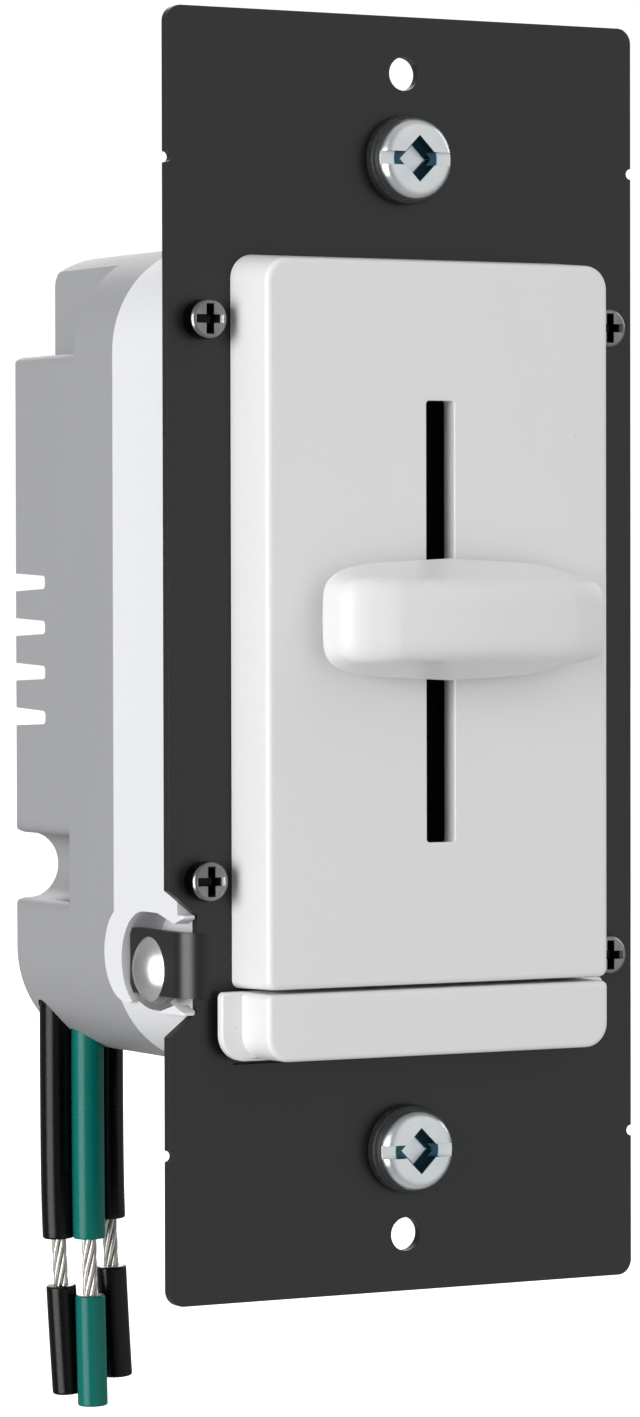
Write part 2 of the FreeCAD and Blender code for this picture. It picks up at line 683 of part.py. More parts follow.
def knob_section(x):
    """The grip's section across its length: hollowed above and below between back and front."""
    share = (x / KNOB_HALF) ** 2
    back, front, sag = (
        middle + (end - middle) * share for middle, end in (KNOB_BACK_Z, KNOB_FRONT_Z, KNOB_SAG)
    )
    half_way = (back + front) / 2 - sag
    middle_y, z = (KNOB_BACK + KNOB_FACE) / 2, KNOB_REST_Z
    top_back, top_front = Vector(x, KNOB_BACK, z + back), Vector(x, KNOB_FACE, z + front)
    low_back, low_front = Vector(x, KNOB_BACK, z - back), Vector(x, KNOB_FACE, z - front)
    edges = [
        Part.Arc(top_back, Vector(x, middle_y, z + half_way), top_front).toShape(),
        Part.makeLine(top_front, low_front),
        Part.Arc(low_front, Vector(x, middle_y, z - half_way), low_back).toShape(),
        Part.makeLine(low_back, top_back),
    ]
    return Part.Wire(edges)


def slide_knob():
    """The wide T-shaped grip, with a stem through the slot that plugs on the lever."""
    stations = [share * KNOB_HALF for share in (-1, -0.5, 0, 0.5, 1)]
    saddle = Part.makeLoft([knob_section(x) for x in stations], True)
    grip = knob_plan().common(saddle)
    stem = box(
        -STEM_HALF_X, STEM_HALF_X, KNOB_BACK - ROOT, STEM_REAR,
        KNOB_REST_Z - STEM_HALF_Z, KNOB_REST_Z + STEM_HALF_Z,
    )
    socket = box(
        -LEVER_HALF_X - LEVER_FIT, LEVER_HALF_X + LEVER_FIT, LEVER_TIP - 0.2, 0,
        KNOB_REST_Z - LEVER_HALF_Z - LEVER_FIT, KNOB_REST_Z + LEVER_HALF_Z + LEVER_FIT,
    )
    return joined(grip, stem).cut(socket)


# --- Housing --------------------------------------------------------------------------


def body_block(inset, y0, y1):
    """The housing's outline, drawn in by a wall's thickness, between two depths."""
    return rounded_block(
        -BODY_HALF + inset, BODY_HALF - inset, -BODY_TOP + inset, BODY_TOP - inset,
        BODY_CORNER - inset, y0, y1,
    )


def screw_bosses(y0, y1):
    """The solid round each housing screw, kept inside the housing's outline."""
    posts = [rod_y(BOSS_R, x, z, y0, y1) for x, z in HOUSING_SCREWS]
    return Part.makeCompound(posts).common(body_block(0, y0, y1))


def screw_holes(radius, y0, y1):
    """The hole for each housing screw."""
    return [rod_y(radius, x, z, y0, y1) for x, z in HOUSING_SCREWS]


def pocket_shape(radius, x0, x1, front):
    """The ground pocket: flat above and below at the front, half round at the back."""
    round_end = rod(radius, (x0, POCKET_Y, POCKET_Z), (x1, POCKET_Y, POCKET_Z))
    return joined(round_end, box(x0, x1, front, POCKET_Y, POCKET_Z - radius, POCKET_Z + radius))


def front_frame():
    """The white moulded ring between the plate and the shell, with the ground pocket."""
    ring = body_block(0, 0, SPLIT_Y).cut(body_block(FRAME_WALL, -1, SPLIT_Y + 1))
    bulge = rod(POCKET_R, (-BODY_HALF, BULGE_Y, BULGE_Z), (-BODY_HALF + FRAME_WALL, BULGE_Y, BULGE_Z))
    pocket_walls = pocket_shape(POCKET_R + POCKET_WALL, -20.0, POCKET_INNER_X + POCKET_WALL, 0)
    pocket_walls = pocket_walls.common(body_block(0, 0, SPLIT_Y))
    rests = []
    for side in (-1, 1):
        for z in REST_Z:
            inner, wall = sorted((side * (BOARD_HALF - REST_LAP), side * (BODY_HALF - FRAME_WALL / 2)))
            rests.append(box(inner, wall, REST_FRONT, SPLIT_Y, z - REST_HALF_Z, z + REST_HALF_Z))
    solid = joined(ring, bulge, pocket_walls, screw_bosses(0, SPLIT_Y), *rests)
    pocket = pocket_shape(POCKET_R, -BODY_HALF - 1, POCKET_INNER_X, -1)
    screw_ways = screw_holes(HOUSING_SCREW_R + 0.15, -1, SPLIT_Y + 1)
    solid = without(solid, pocket, terminal_way(), *screw_ways)
    fingers = [pocket_finger(POCKET_Z + POCKET_R, -1), pocket_finger(POCKET_Z - POCKET_R, 1)]
    return without(joined(solid, *fingers), ground_notch_rim())


def pocket_finger(root_z, into):
    """A finger along the pocket's flat wall that comes forward into the plate's notch."""
    shoulder_z, tip_z = root_z + into * FINGER_THICK, root_z + into * FINGER_TIP_THICK
    profile = (
        (PLATE_FRONT, root_z), (FINGER_ROOT_Y, root_z),
        (FINGER_SHOULDER_Y, shoulder_z), (PLATE_FRONT, tip_z),
    )
    corners = [Vector(-BODY_HALF, y, z) for y, z in profile]
    reach = Vector(BODY_HALF + FINGER_TIP_X, 0, 0)
    finger = Part.Face(Part.makePolygon(corners + corners[:1])).extrude(reach)
    tip_edges = [
        e for e in finger.Edges
        if e.BoundBox.ZLength > 0.2 and e.BoundBox.YMax < PLATE_FRONT + 0.01
    ]
    return finger.makeFillet(FINGER_TIP_R, tip_edges)


def terminal_way():
    """The way back from the ground pocket for the ring terminal's tongue and barrel."""
    return box(*TERMINAL_WAY_X, POCKET_Y, BARREL_REAR + 1, RIVET_Z - 1.7, RIVET_Z + 1.7)


def ground_notch_rim():
    """The plate's metal just outside the notch, which the frame's fingers stay clear of."""
    slab = box(-BODY_HALF - 1, NOTCH_X + 1, PLATE_FRONT - 1, 0, NOTCH_BOTTOM - 4, NOTCH_TOP + 4)
    return slab.cut(ground_notch())


def shoulder_cut(side, grow):
    """The corner taken off behind an upper screw boss; grow adds a wall's thickness."""
    inner = side * (SHOULDER_X - grow)
    outer = side * (BODY_HALF + 2)
    front, floor = SHOULDER_Y - grow, SHOULDER_Z - grow
    cut = box(min(inner, outer), max(inner, outer), front, REAR_Y + 2, floor, BODY_TOP + 2)
    inner_edges = [
        e for e in edges_at(cut, front) if e.BoundBox.XLength > 1 and e.BoundBox.ZMax < floor + 0.01
    ]
    return cut.makeFillet(SHOULDER_INNER_R, inner_edges)


def groove_cut(side, z, grow):
    """The round-bottomed groove behind a lower screw boss."""
    half = GROOVE_HALF_Z + grow
    centre_x = side * (GROOVE_X + GROOVE_HALF_Z)
    round_part = rod_y(half, centre_x, z, GROOVE_Y - grow, REAR_Y + 2)
    outer = side * (BODY_HALF + 2)
    flat_part = box(
        min(centre_x, outer), max(centre_x, outer), GROOVE_Y - grow, REAR_Y + 2, z - half, z + half
    )
    return joined(round_part, flat_part)


def relief_cuts(grow):
    """Every cut behind the four screw bosses."""
    (_, _), (_, _), (_, left_z), (_, right_z) = HOUSING_SCREWS
    return [
        shoulder_cut(-1, grow), shoulder_cut(1, grow),
        groove_cut(-1, left_z, grow), groove_cut(1, right_z, grow),
    ]


def rear_edge_round(side, inner, z, radius, body_side):
    """What rounds a rear edge along X; the body is above the edge for 1 and below it for -1."""
    x0, x1 = sorted((side * inner, side * (BODY_HALF + 1)))
    centre_z = z + body_side * radius
    low, high = sorted((centre_z, z - body_side))
    corner = box(x0, x1, REAR_Y - radius, REAR_Y + 1, low, high)
    return corner.cut(rod(radius, (x0 - 1, REAR_Y - radius, centre_z), (x1 + 1, REAR_Y - radius, centre_z)))


def outer_edge_round(side, front, z, body_side):
    """What rounds an edge along Y on the outside; the body is above the edge for 1, below for -1."""
    radius, centre_z = REAR_ROUND_R, z + body_side * REAR_ROUND_R
    centre_x = side * (BODY_HALF - radius)
    x0, x1 = sorted((centre_x, side * (BODY_HALF + 1)))
    low, high = sorted((centre_z, z - body_side))
    corner = box(x0, x1, front, REAR_Y + 1, low, high)
    return corner.cut(rod_y(radius, centre_x, centre_z, front - 1, REAR_Y + 2))


def groove_mouth_round(side, z):
    """What rounds a groove's mouth: a torus section at its round end, two runs and two sides."""
    radius, centre_x = REAR_ROUND_R, GROOVE_X + GROOVE_HALF_Z
    major, start = GROOVE_HALF_Z + radius, REAR_Y - radius
    disc = rod_y(major, side * centre_x, z, start, REAR_Y)
    ring = disc.cut(Part.makeTorus(major, radius, Vector(side * centre_x, start, z), Vector(0, 1, 0)))
    runs = [
        rear_edge_round(side, centre_x, z + end * GROOVE_HALF_Z, radius, end) for end in (-1, 1)
    ]
    sides = [outer_edge_round(side, GROOVE_Y, z + end * GROOVE_HALF_Z, end) for end in (-1, 1)]
    return [ring, *runs, *sides]


def rear_rounds():
    """What rounds the rear and outer edges of the shoulders and of the grooves' mouths."""
    rounds = [rear_edge_round(side, SHOULDER_X, SHOULDER_Z, REAR_ROUND_R, -1) for side in (-1, 1)]
    rounds += [outer_edge_round(side, SHOULDER_Y, SHOULDER_Z, -1) for side in (-1, 1)]
    (_, _), (_, _), (_, left_z), (_, right_z) = HOUSING_SCREWS
    return [*rounds, *groove_mouth_round(-1, left_z), *groove_mouth_round(1, right_z)]


def vent_slot(side, z):
    """One vent: a slot that widens to the rear, with a rounded inner end."""
    x0, x1 = sorted((side * VENT_INNER_X, side * (BODY_HALF + 1)))
    inner, mouth = VENT_INNER_HEIGHT / 2, VENT_HEIGHT / 2
    profile = ((VENT_FRONT, z - inner), (REAR_Y, z - mouth), (REAR_Y, z + mouth), (VENT_FRONT, z + inner))
    corners = [Vector(x0, y, height) for y, height in profile]
    slot = Part.Face(Part.makePolygon(corners + corners[:1])).extrude(Vector(x1 - x0, 0, 0))
    inner_edges = [e for e in edges_at(slot, VENT_FRONT) if e.BoundBox.XLength > 1]
    return slot.makeFillet(VENT_INNER_R, inner_edges)


def vent_slots():
    """Comb-like vents through both rear edges, with rounded mouths."""
    cuts = []
    for side in (-1, 1):
        for index in range(VENT_COUNT):
            z = VENT_TOP_Z - index * VENT_PITCH
            cuts.append(vent_slot(side, z))
            for end in (-1, 1):
                edge_z = z + end * VENT_HEIGHT / 2
                cuts.append(rear_edge_round(side, VENT_INNER_X, edge_z, VENT_ROUND_R, end))
    return cuts


def lead_passages():
    """The holes that the three leads leave by."""
    return [
        rod(LEAD_HOLE_R, (x, y, -40), (x, y, LEAD_BLOCK_TOP + 1))
        for x, y, _ in (LINE_ROUTE[0], GROUND_ROUTE[0], LOAD_ROUTE[0])
    ]


def rear_housing():
    """The grey rear shell, with screw bosses, board posts, vents and the lead block."""
    outer = body_block(0, SPLIT_Y, REAR_Y)
    outer = outer.makeFillet(REAR_EDGE_R, edges_at(outer, REAR_Y))
    outer = without(outer, *relief_cuts(0), *rear_rounds())
    cavity = without(body_block(SHELL_WALL, SPLIT_Y - 1, REAR_Y - SHELL_WALL), *relief_cuts(SHELL_WALL))
    shell = outer.cut(cavity)
    block = box(*LEAD_BLOCK_X, LEAD_BLOCK_FRONT, REAR_Y - 0.5, -BODY_TOP, LEAD_BLOCK_TOP)
    block = block.common(body_block(0.4, SPLIT_Y, REAR_Y - 0.4))
    posts = []
    for side in (-1, 1):
        for z in REST_Z:
            inner, wall = sorted((side * (BOARD_HALF - REST_LAP), side * (BODY_HALF - SHELL_WALL / 2)))
            posts.append(box(inner, wall, BOARD_REAR, POST_REAR, z - REST_HALF_Z, z + REST_HALF_Z))
    bosses = screw_bosses(SPLIT_Y, SHOULDER_Y)
    solid = joined(shell, block, bosses, *posts)
    bulge_seat = rod(POCKET_R + 0.05, (-22, BULGE_Y, BULGE_Z), (-19.2, BULGE_Y, BULGE_Z))
    pilot_holes = screw_holes(HOUSING_SCREW_R, SPLIT_Y - 1, GROOVE_Y + 0.5)
    return without(solid, bulge_seat, terminal_way(), *pilot_holes, *vent_slots(), *lead_passages())


# --- Slide potentiometer --------------------------------------------------------------


def slide_pot_can():
    """The folded steel can of the slide potentiometer, open at the back."""
    low, high = SLOT_CENTRE_Z - POT_HALF_LENGTH, SLOT_CENTRE_Z + POT_HALF_LENGTH
    can = box(-POT_HALF, POT_HALF, POT_FRONT, POT_REAR, low, high)
    inside = box(
        -POT_HALF + POT_SKIN, POT_HALF - POT_SKIN, POT_FRONT + POT_SKIN, POT_REAR + 1,
        low + POT_SKIN, high - POT_SKIN,
    )
    lever_slot = slot_block(0, SLOT_CENTRE_Z, 1.2, SLOT_HALF_LENGTH + 0.3, POT_FRONT - 1, POT_FRONT + 1)
    return without(can, inside, lever_slot)


def slide_pot_track():
    """The resistive strip in the can's back, with its three pins to the board."""
    low, high = SLOT_CENTRE_Z - POT_HALF_LENGTH, SLOT_CENTRE_Z + POT_HALF_LENGTH
    strip = box(
        -POT_HALF + POT_SKIN + 0.05, POT_HALF - POT_SKIN - 0.05, TRACK_FRONT, POT_REAR,
        low + POT_SKIN + 0.05, high - POT_SKIN - 0.05,
    )
    places = ((0, high - POT_PIN_IN), (-POT_PIN_X, low + POT_PIN_IN), (POT_PIN_X, low + POT_PIN_IN))
    pins = [rod_y(POT_PIN_R, x, z, POT_REAR - ROOT, SPLIT_Y) for x, z in places]
    return joined(strip, *pins)


def wiper_carriage():
    """The plastic carriage that slides in the can, with the lever the knob plugs on."""
    z = KNOB_REST_Z
    half_x, half_z, front = *CARRIAGE_HALF, POT_FRONT + POT_SKIN + 0.1
    block = box(-half_x, half_x, front, CARRIAGE_REAR, z - half_z, z + half_z)
    lever = box(-LEVER_HALF_X, LEVER_HALF_X, LEVER_TIP, front + ROOT, z - LEVER_HALF_Z, z + LEVER_HALF_Z)
    return joined(block, lever)


def wiper_contact():
    """The sprung bronze wiper under the carriage: a bridge and two fingers on the track."""
    z = KNOB_REST_Z
    half, rear, reach = WIPER_HALF, CARRIAGE_REAR + WIPER_THICK, TRACK_FRONT - FIT_GAP
    bridge = box(-half, half, CARRIAGE_REAR, rear, z - half, z + half)
    fingers = [box(x - 0.6, x + 0.6, rear - 0.1, reach, z - 2.6, z - 1.4) for x in WIPER_FINGERS_X]
    return joined(bridge, *fingers)


# --- Push switch ----------------------------------------------------------------------


def switch_case():
    """The push switch's case, open at the front for the plunger and at the back for pins."""
    x, half_z, z = SWITCH_HALF_X, SWITCH_HALF_Z, SWITCH_Z
    case = box(-x, x, SWITCH_FRONT, SPLIT_Y, z - half_z, z + half_z)
    inside = box(
        -x + SWITCH_WALL, x - SWITCH_WALL, SWITCH_FRONT + SWITCH_WALL, SPLIT_Y - SWITCH_WALL,
        z - half_z + SWITCH_WALL, z + half_z - SWITCH_WALL,
    )
    mouth = box(
        -PLUNGER_HALF_X - 0.08, PLUNGER_HALF_X + 0.08, SWITCH_FRONT - 1, SWITCH_FRONT + 1,
        z - PLUNGER_HALF_Z - 0.08, z + PLUNGER_HALF_Z + 0.08,
    )
    pin_half = CONTACT_LEG_HALF + 0.05
    pin_ways = [
        box(px - 0.25, px + 0.25, 9, SPLIT_Y + 1, z - pin_half, z + pin_half)
        for px in (-CONTACT_LEG_X, CONTACT_LEG_X)
    ]
    return without(case, inside, mouth, *pin_ways)


def switch_plunger():
    """The plunger that the pad's pusher moves."""
    z = SWITCH_Z
    half_x, half_z = PLUNGER_HALF_X, PLUNGER_HALF_Z
    bar = box(-half_x, half_x, PLUNGER_FRONT, BRIDGE_FRONT, z - half_z, z + half_z)
    collar = box(
        -half_x - COLLAR_STEP, half_x + COLLAR_STEP, COLLAR_FRONT, BRIDGE_FRONT,
        z - half_z - COLLAR_STEP, z + half_z + COLLAR_STEP,
    )
    nose = rod_y(NOSE_R, 0, z, BRIDGE_FRONT, NOSE_END)
    return joined(bar, collar, nose)


def switch_contact_bridge():
    """The moving contact: a copper bar carried on the plunger's nose."""
    z = SWITCH_Z
    bar = box(-BRIDGE_HALF, BRIDGE_HALF, BRIDGE_FRONT, BRIDGE_REAR, z - CONTACT_HALF, z + CONTACT_HALF)
    return bar.cut(rod_y(NOSE_R + 0.02, 0, z, COLLAR_FRONT, NOSE_END))


def switch_fixed_contacts():
    """The two fixed contacts, each with its leg to the board."""
    parts, z = [], SWITCH_Z
    face = BRIDGE_REAR + PAD_STROKE + FIT_GAP
    for side in (-1, 1):
        pad_x0, pad_x1 = sorted((side * (CONTACT_LEG_X + 0.2), side * CONTACT_INNER_X))
        pad = box(pad_x0, pad_x1, face, face + 0.4, z - CONTACT_HALF, z + CONTACT_HALF)
        leg_x0, leg_x1 = side * CONTACT_LEG_X - 0.2, side * CONTACT_LEG_X + 0.2
        leg = box(leg_x0, leg_x1, face, SPLIT_Y, z - CONTACT_LEG_HALF, z + CONTACT_LEG_HALF)
        parts.append(joined(pad, leg))
    return Part.makeCompound(parts)


def switch_plunger_spring():
    """The spring behind the plunger, as a plain sleeve round its nose."""
    sleeve = rod_y(SWITCH_SPRING_R, 0, SWITCH_Z, BRIDGE_REAR, SPLIT_Y - SWITCH_WALL)
    return sleeve.cut(rod_y(SWITCH_SPRING_R - 0.4, 0, SWITCH_Z, BRIDGE_FRONT, SPLIT_Y))


# --- Board and components -------------------------------------------------------------


def insulating_sheet():
    """Black card between the plate and the live parts, with a narrow slit for the lever."""
    half, top = SHEET_HALF
    sheet = rounded_block(-half, half, -top, top, SHEET_CORNER, 0, SHEET_THICK)
    cuts = [slot_block(0, SLOT_CENTRE_Z, 0.9, KNOB_TRAVEL + LEVER_HALF_Z + 0.6, -1, 1)]
    for x, z in PANEL_CLIPS:
        cuts.append(clip_window(x, z, CLIP_WINDOW[0] + 0.2, CLIP_WINDOW[1] + 0.9))
    for side in (-1, 1):
        window_x, window_z = PAD_LEG_WINDOW[0] + 0.4, PAD_LEG_WINDOW[1] + 0.4
        cuts.append(clip_window(side * PAD_LEG_X, PAD_LEG_WINDOW_Z - 0.2, window_x, window_z))
    cuts.append(clip_window(0, PUSHER_WINDOW_Z, PUSHER_WINDOW[0] + 0.2, PUSHER_WINDOW[1] + 0.3))
    middle = TRIAC_BASE_Z + TRIAC_TAB_HEIGHT / 2
    cuts.append(clip_window(TRIAC_X, middle, TRIAC_HALF + 0.3, TRIAC_TAB_HEIGHT / 2 + 0.4))
    return without(sheet, *cuts)


def circuit_board():
    """The board across the split, cut back at its lower corners."""
    board = box(-BOARD_HALF, BOARD_HALF, SPLIT_Y, BOARD_REAR, BOARD_BOTTOM, BOARD_TOP)
    corners = [e for e in board.Edges if e.BoundBox.YLength > 1 and e.BoundBox.ZMax < BOARD_BOTTOM + 1]
    return board.makeChamfer(3.0, corners)


def triac():
    """The power switch in its tabbed package, its tab flat on the plate's back."""
    x, z = TRIAC_X, TRIAC_BASE_Z
    left, right = x - TRIAC_HALF, x + TRIAC_HALF
    tab = box(left, right, 0, TRIAC_TAB_THICK, z, z + TRIAC_TAB_HEIGHT)
    tab = tab.cut(rod_y(TRIAC_RIVET_R + 0.03, x, TRIAC_HOLE_Z, -1, 3))
    body = box(left, right, TRIAC_BODY_Y[0], TRIAC_BODY_Y[1], z, z + TRIAC_BODY_HEIGHT)
    legs = []
    for offset in (-TRIAC_PITCH, 0, TRIAC_PITCH):
        leg_left, leg_right = x + offset - 0.4, x + offset + 0.4
        down = box(leg_left, leg_right, 2.3, 2.8, z - 2.6, z + 0.2)
        back = box(leg_left, leg_right, 2.3, SPLIT_Y, z - 2.6, z - 2.1)
        legs += [down, back]
    return joined(tab, body, *legs)


def triac_rivet():
    """The rivet that holds the triac's tab to the plate, which is its heat sink."""
    x, z = TRIAC_X, TRIAC_HOLE_Z
    shank = rod_y(TRIAC_RIVET_R, x, z, PLATE_FRONT, TRIAC_TAB_THICK)
    front = rod_y(2.6, x, z, PLATE_FRONT - 0.8, PLATE_FRONT)
    back = rod_y(2.3, x, z, TRIAC_TAB_THICK, TRIAC_TAB_THICK + 0.7)
    return joined(front, shank, back)


def choke_core():
    """The ferrite ring of the interference choke."""
    front, rear = CORE_Y
    ring = rod_y(CORE_R, CHOKE_X, CHOKE_Z, front, rear)
    return ring.cut(rod_y(CORE_HOLE_R, CHOKE_X, CHOKE_Z, front - 1, rear + 1))


def choke_winding():
    """The enamelled wire round the ring, as one sleeve over it."""
    front, rear = CORE_Y[0] - FIT_GAP, CORE_Y[1] + FIT_GAP
    outside = rod_y(CHOKE_R, CHOKE_X, CHOKE_Z, BOARD_REAR, CHOKE_REAR)
    around_core = rod_y(CORE_R + FIT_GAP, CHOKE_X, CHOKE_Z, front, rear)
    around_core = around_core.cut(rod_y(CORE_HOLE_R - FIT_GAP, CHOKE_X, CHOKE_Z, front, rear))
    eye = rod_y(CHOKE_HOLE_R, CHOKE_X, CHOKE_Z, BOARD_REAR - 1, CHOKE_REAR + 1)
    return without(outside, eye, around_core)


def block_part(x0, x1, z0, z1, height, edge):
    """A moulded component that stands on the board's rear face."""
    body = box(x0, x1, BOARD_REAR, BOARD_REAR + height, z0, z1)
    return body.makeFillet(edge, edges_at(body, BOARD_REAR + height))


def snubber_capacitor():
    """The large film capacitor."""
    return block_part(-13.0, 5.0, -11.5, -3.0, 14.0, 0.6)


def timing_capacitor():
    """The smaller film capacitor of the timing circuit."""
    return block_part(7.0, 14.2, -13.0, -7.6, 9.0, 0.5)


def lying_component(radius, length, x, z):
    """A round axial component lying along X just off the board, with its two bent leads."""
    y = BOARD_REAR + radius + 0.4
    pieces = [rod(radius, (x - length / 2, y, z), (x + length / 2, y, z))]
    for side in (-1, 1):
        near = x + side * (length / 2 - 0.2)
        end = x + side * (length / 2 + AXIAL_LEAD_REACH)
        pieces.append(pipe(AXIAL_LEAD_R, ((near, y, z), (end, y, z), (end, BOARD_REAR, z))))
    return joined(*pieces)


def diac():
    """The small glass trigger diode."""
    return lying_component(0.9, 4.0, 9.5, -17.5)


def resistors():
    """Three axial resistors: two for timing and one for the snubber."""
    return Part.makeCompound(
        [
            lying_component(1.2, 6.3, -2.0, -15.0),
            lying_component(1.2, 6.3, -2.0, -18.6),
            lying_component(1.9, 9.0, 3.5, -23.5),
        ]
    )


def low_speed_trimmer():
    """The preset that sets the lowest speed: a square body and a slotted rotor."""
    x, z, half = TRIMMER_X, TRIMMER_Z, TRIMMER_HALF
    body = box(x - half, x + half, TRIMMER_FRONT, SPLIT_Y, z - half, z + half)
    rotor = rod_y(2.2, x, z, TRIMMER_FRONT - 0.8, TRIMMER_FRONT + 0.1)
    slot = box(x - 1.95, x + 1.95, TRIMMER_FRONT - 1.3, TRIMMER_FRONT - 0.3, z - 0.3, z + 0.3)
    return joined(body, rotor).cut(slot)


# --- Leads ----------------------------------------------------------------------------


def lead_pieces(name, route, cuts):
    """The jacket, bared strands and end slug of one lead, cut from tubes along its route."""
    print(name)
    jacket_end, strands_end = (route[0][2] - cut for cut in cuts)
    everything = 200.0
    above = box(-50, 50, -50, 90, jacket_end, everything)
    between = box(-50, 50, -50, 90, strands_end, jacket_end)
    below = box(-50, 50, -50, 90, -everything, strands_end)
    jacket = pipe(LEAD_R, route).common(above)
    strands = pipe(STRAND_R, route).common(between)
    slug = pipe(SLUG_R, route).common(below)
    return {f"{name}_jacket": jacket, f"{name}_strands": strands, f"{name}_slug": slug}


def board_tail(start, height, end_x):
    """Bare strands from the top of the lead block, up, forward and square into the board."""
    x, y, z = start
    corners = ((x, y, z), (x, y, height), (end_x, BOARD_REAR + 4, height), (end_x, BOARD_REAR, height))
    return pipe(STRAND_R, corners)


def line_lead_tail():
    """The line lead's strands inside the shell."""
    return board_tail(LINE_ROUTE[0], -23.6, -14.2)


def load_lead_tail():
    """The load lead's strands inside the shell."""
    return board_tail(LOAD_ROUTE[0], -24.6, -10.4)


def ground_lead_tail():
    """The green lead inside the shell, from the lead block to its ring terminal."""
    x, y, z = GROUND_ROUTE[0]
    into_barrel = [(BARREL_X, depth, RIVET_Z) for depth in (BARREL_REAR + 3, BARREL_REAR)]
    return pipe(LEAD_R, ((x, y, z), (x, y, RIVET_Z), *into_barrel))


# --- Assembly -------------------------------------------------------------------------

PIECES = (
    mounting_plate, mounting_screws, screw_retaining_washers, housing_screws, ground_rivet,
    ground_ring_terminal, face_panel, push_pad, pad_return_springs, slide_knob, front_frame,
    rear_housing, slide_pot_can, slide_pot_track, wiper_carriage, wiper_contact, switch_case,
    switch_plunger, switch_contact_bridge, switch_fixed_contacts, switch_plunger_spring,
    insulating_sheet, circuit_board, triac, triac_rivet, choke_core, choke_winding,
    snubber_capacitor, timing_capacitor, diac, resistors, low_speed_trimmer,
    line_lead_tail, load_lead_tail, ground_lead_tail,
)

LEADS = (
    ("line_lead", LINE_ROUTE, LINE_CUTS),
    ("ground_lead", GROUND_ROUTE, GROUND_CUTS),
    ("load_lead", LOAD_ROUTE, LOAD_CUTS),
)


def main():
    """Builds every piece and writes each to its own file."""
    os.makedirs("parts", exist_ok=True)
    shapes = {piece.__name__: piece() for piece in PIECES}
    for name, route, cuts in LEADS:
        shapes.update(lead_pieces(name, route, cuts))
    for name, shape in shapes.items():
        shape.exportStep(f"parts/{name}.step")
        valid = "valid" if shape.isValid() else "INVALID"
        print(f"{name}: {len(shape.Solids)} solid(s), {shape.Volume:.1f} mm3, {valid}")


main()
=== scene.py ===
"""A slide control for a wall box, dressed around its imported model.

A charcoal strap carries a white face panel with a slide knob, a push pad below it, a white front
frame and a grey rear shell behind it, and three stripped leads. Lengths are in metres. +X is to
the right seen from the front, +Y goes back into the wall box and +Z is up.
"""

import json
import logging
import math
from dataclasses import dataclass, field
from enum import Enum

import bmesh
import bpy
import numpy as np
from mathutils import Matrix, Vector


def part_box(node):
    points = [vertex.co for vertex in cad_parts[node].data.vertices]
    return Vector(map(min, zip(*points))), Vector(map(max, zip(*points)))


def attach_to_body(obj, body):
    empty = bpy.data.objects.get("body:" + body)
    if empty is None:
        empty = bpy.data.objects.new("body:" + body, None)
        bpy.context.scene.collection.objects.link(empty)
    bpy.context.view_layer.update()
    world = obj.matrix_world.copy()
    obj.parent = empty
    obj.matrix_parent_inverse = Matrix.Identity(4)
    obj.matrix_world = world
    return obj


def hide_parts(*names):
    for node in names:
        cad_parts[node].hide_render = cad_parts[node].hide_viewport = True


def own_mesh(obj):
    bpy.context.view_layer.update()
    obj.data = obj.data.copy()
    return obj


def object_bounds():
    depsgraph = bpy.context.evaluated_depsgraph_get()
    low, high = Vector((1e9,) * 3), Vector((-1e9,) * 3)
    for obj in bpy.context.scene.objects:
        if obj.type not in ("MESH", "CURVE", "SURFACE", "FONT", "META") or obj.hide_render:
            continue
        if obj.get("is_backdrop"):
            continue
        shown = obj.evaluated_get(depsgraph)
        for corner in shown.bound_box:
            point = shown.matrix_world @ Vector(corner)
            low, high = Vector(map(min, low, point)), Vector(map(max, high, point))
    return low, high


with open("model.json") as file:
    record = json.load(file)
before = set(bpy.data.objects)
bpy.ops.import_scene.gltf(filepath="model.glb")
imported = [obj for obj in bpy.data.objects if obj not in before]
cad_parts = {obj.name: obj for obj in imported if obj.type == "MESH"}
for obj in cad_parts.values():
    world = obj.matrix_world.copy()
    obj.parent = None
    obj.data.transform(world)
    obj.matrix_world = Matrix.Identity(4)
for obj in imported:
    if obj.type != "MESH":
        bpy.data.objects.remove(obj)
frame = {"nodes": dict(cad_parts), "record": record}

LOG = logging.getLogger("slide_control")
MM = 0.001
TURN = 2 * math.pi

Colour = tuple[float, float, float]
Point = tuple[float, float, float]


class Body(Enum):
    """The bodies that pieces ride on."""

    ROOT = "root"
    SLIDER = "slider"
    PAD = "pad"
    PLUNGER = "plunger"


class Axis(Enum):
    """The row axes, by their place in a coordinate."""

    X = 0
    Y = 1
    Z = 2


# --- Shader graphs ---------------------------------------------------------------------


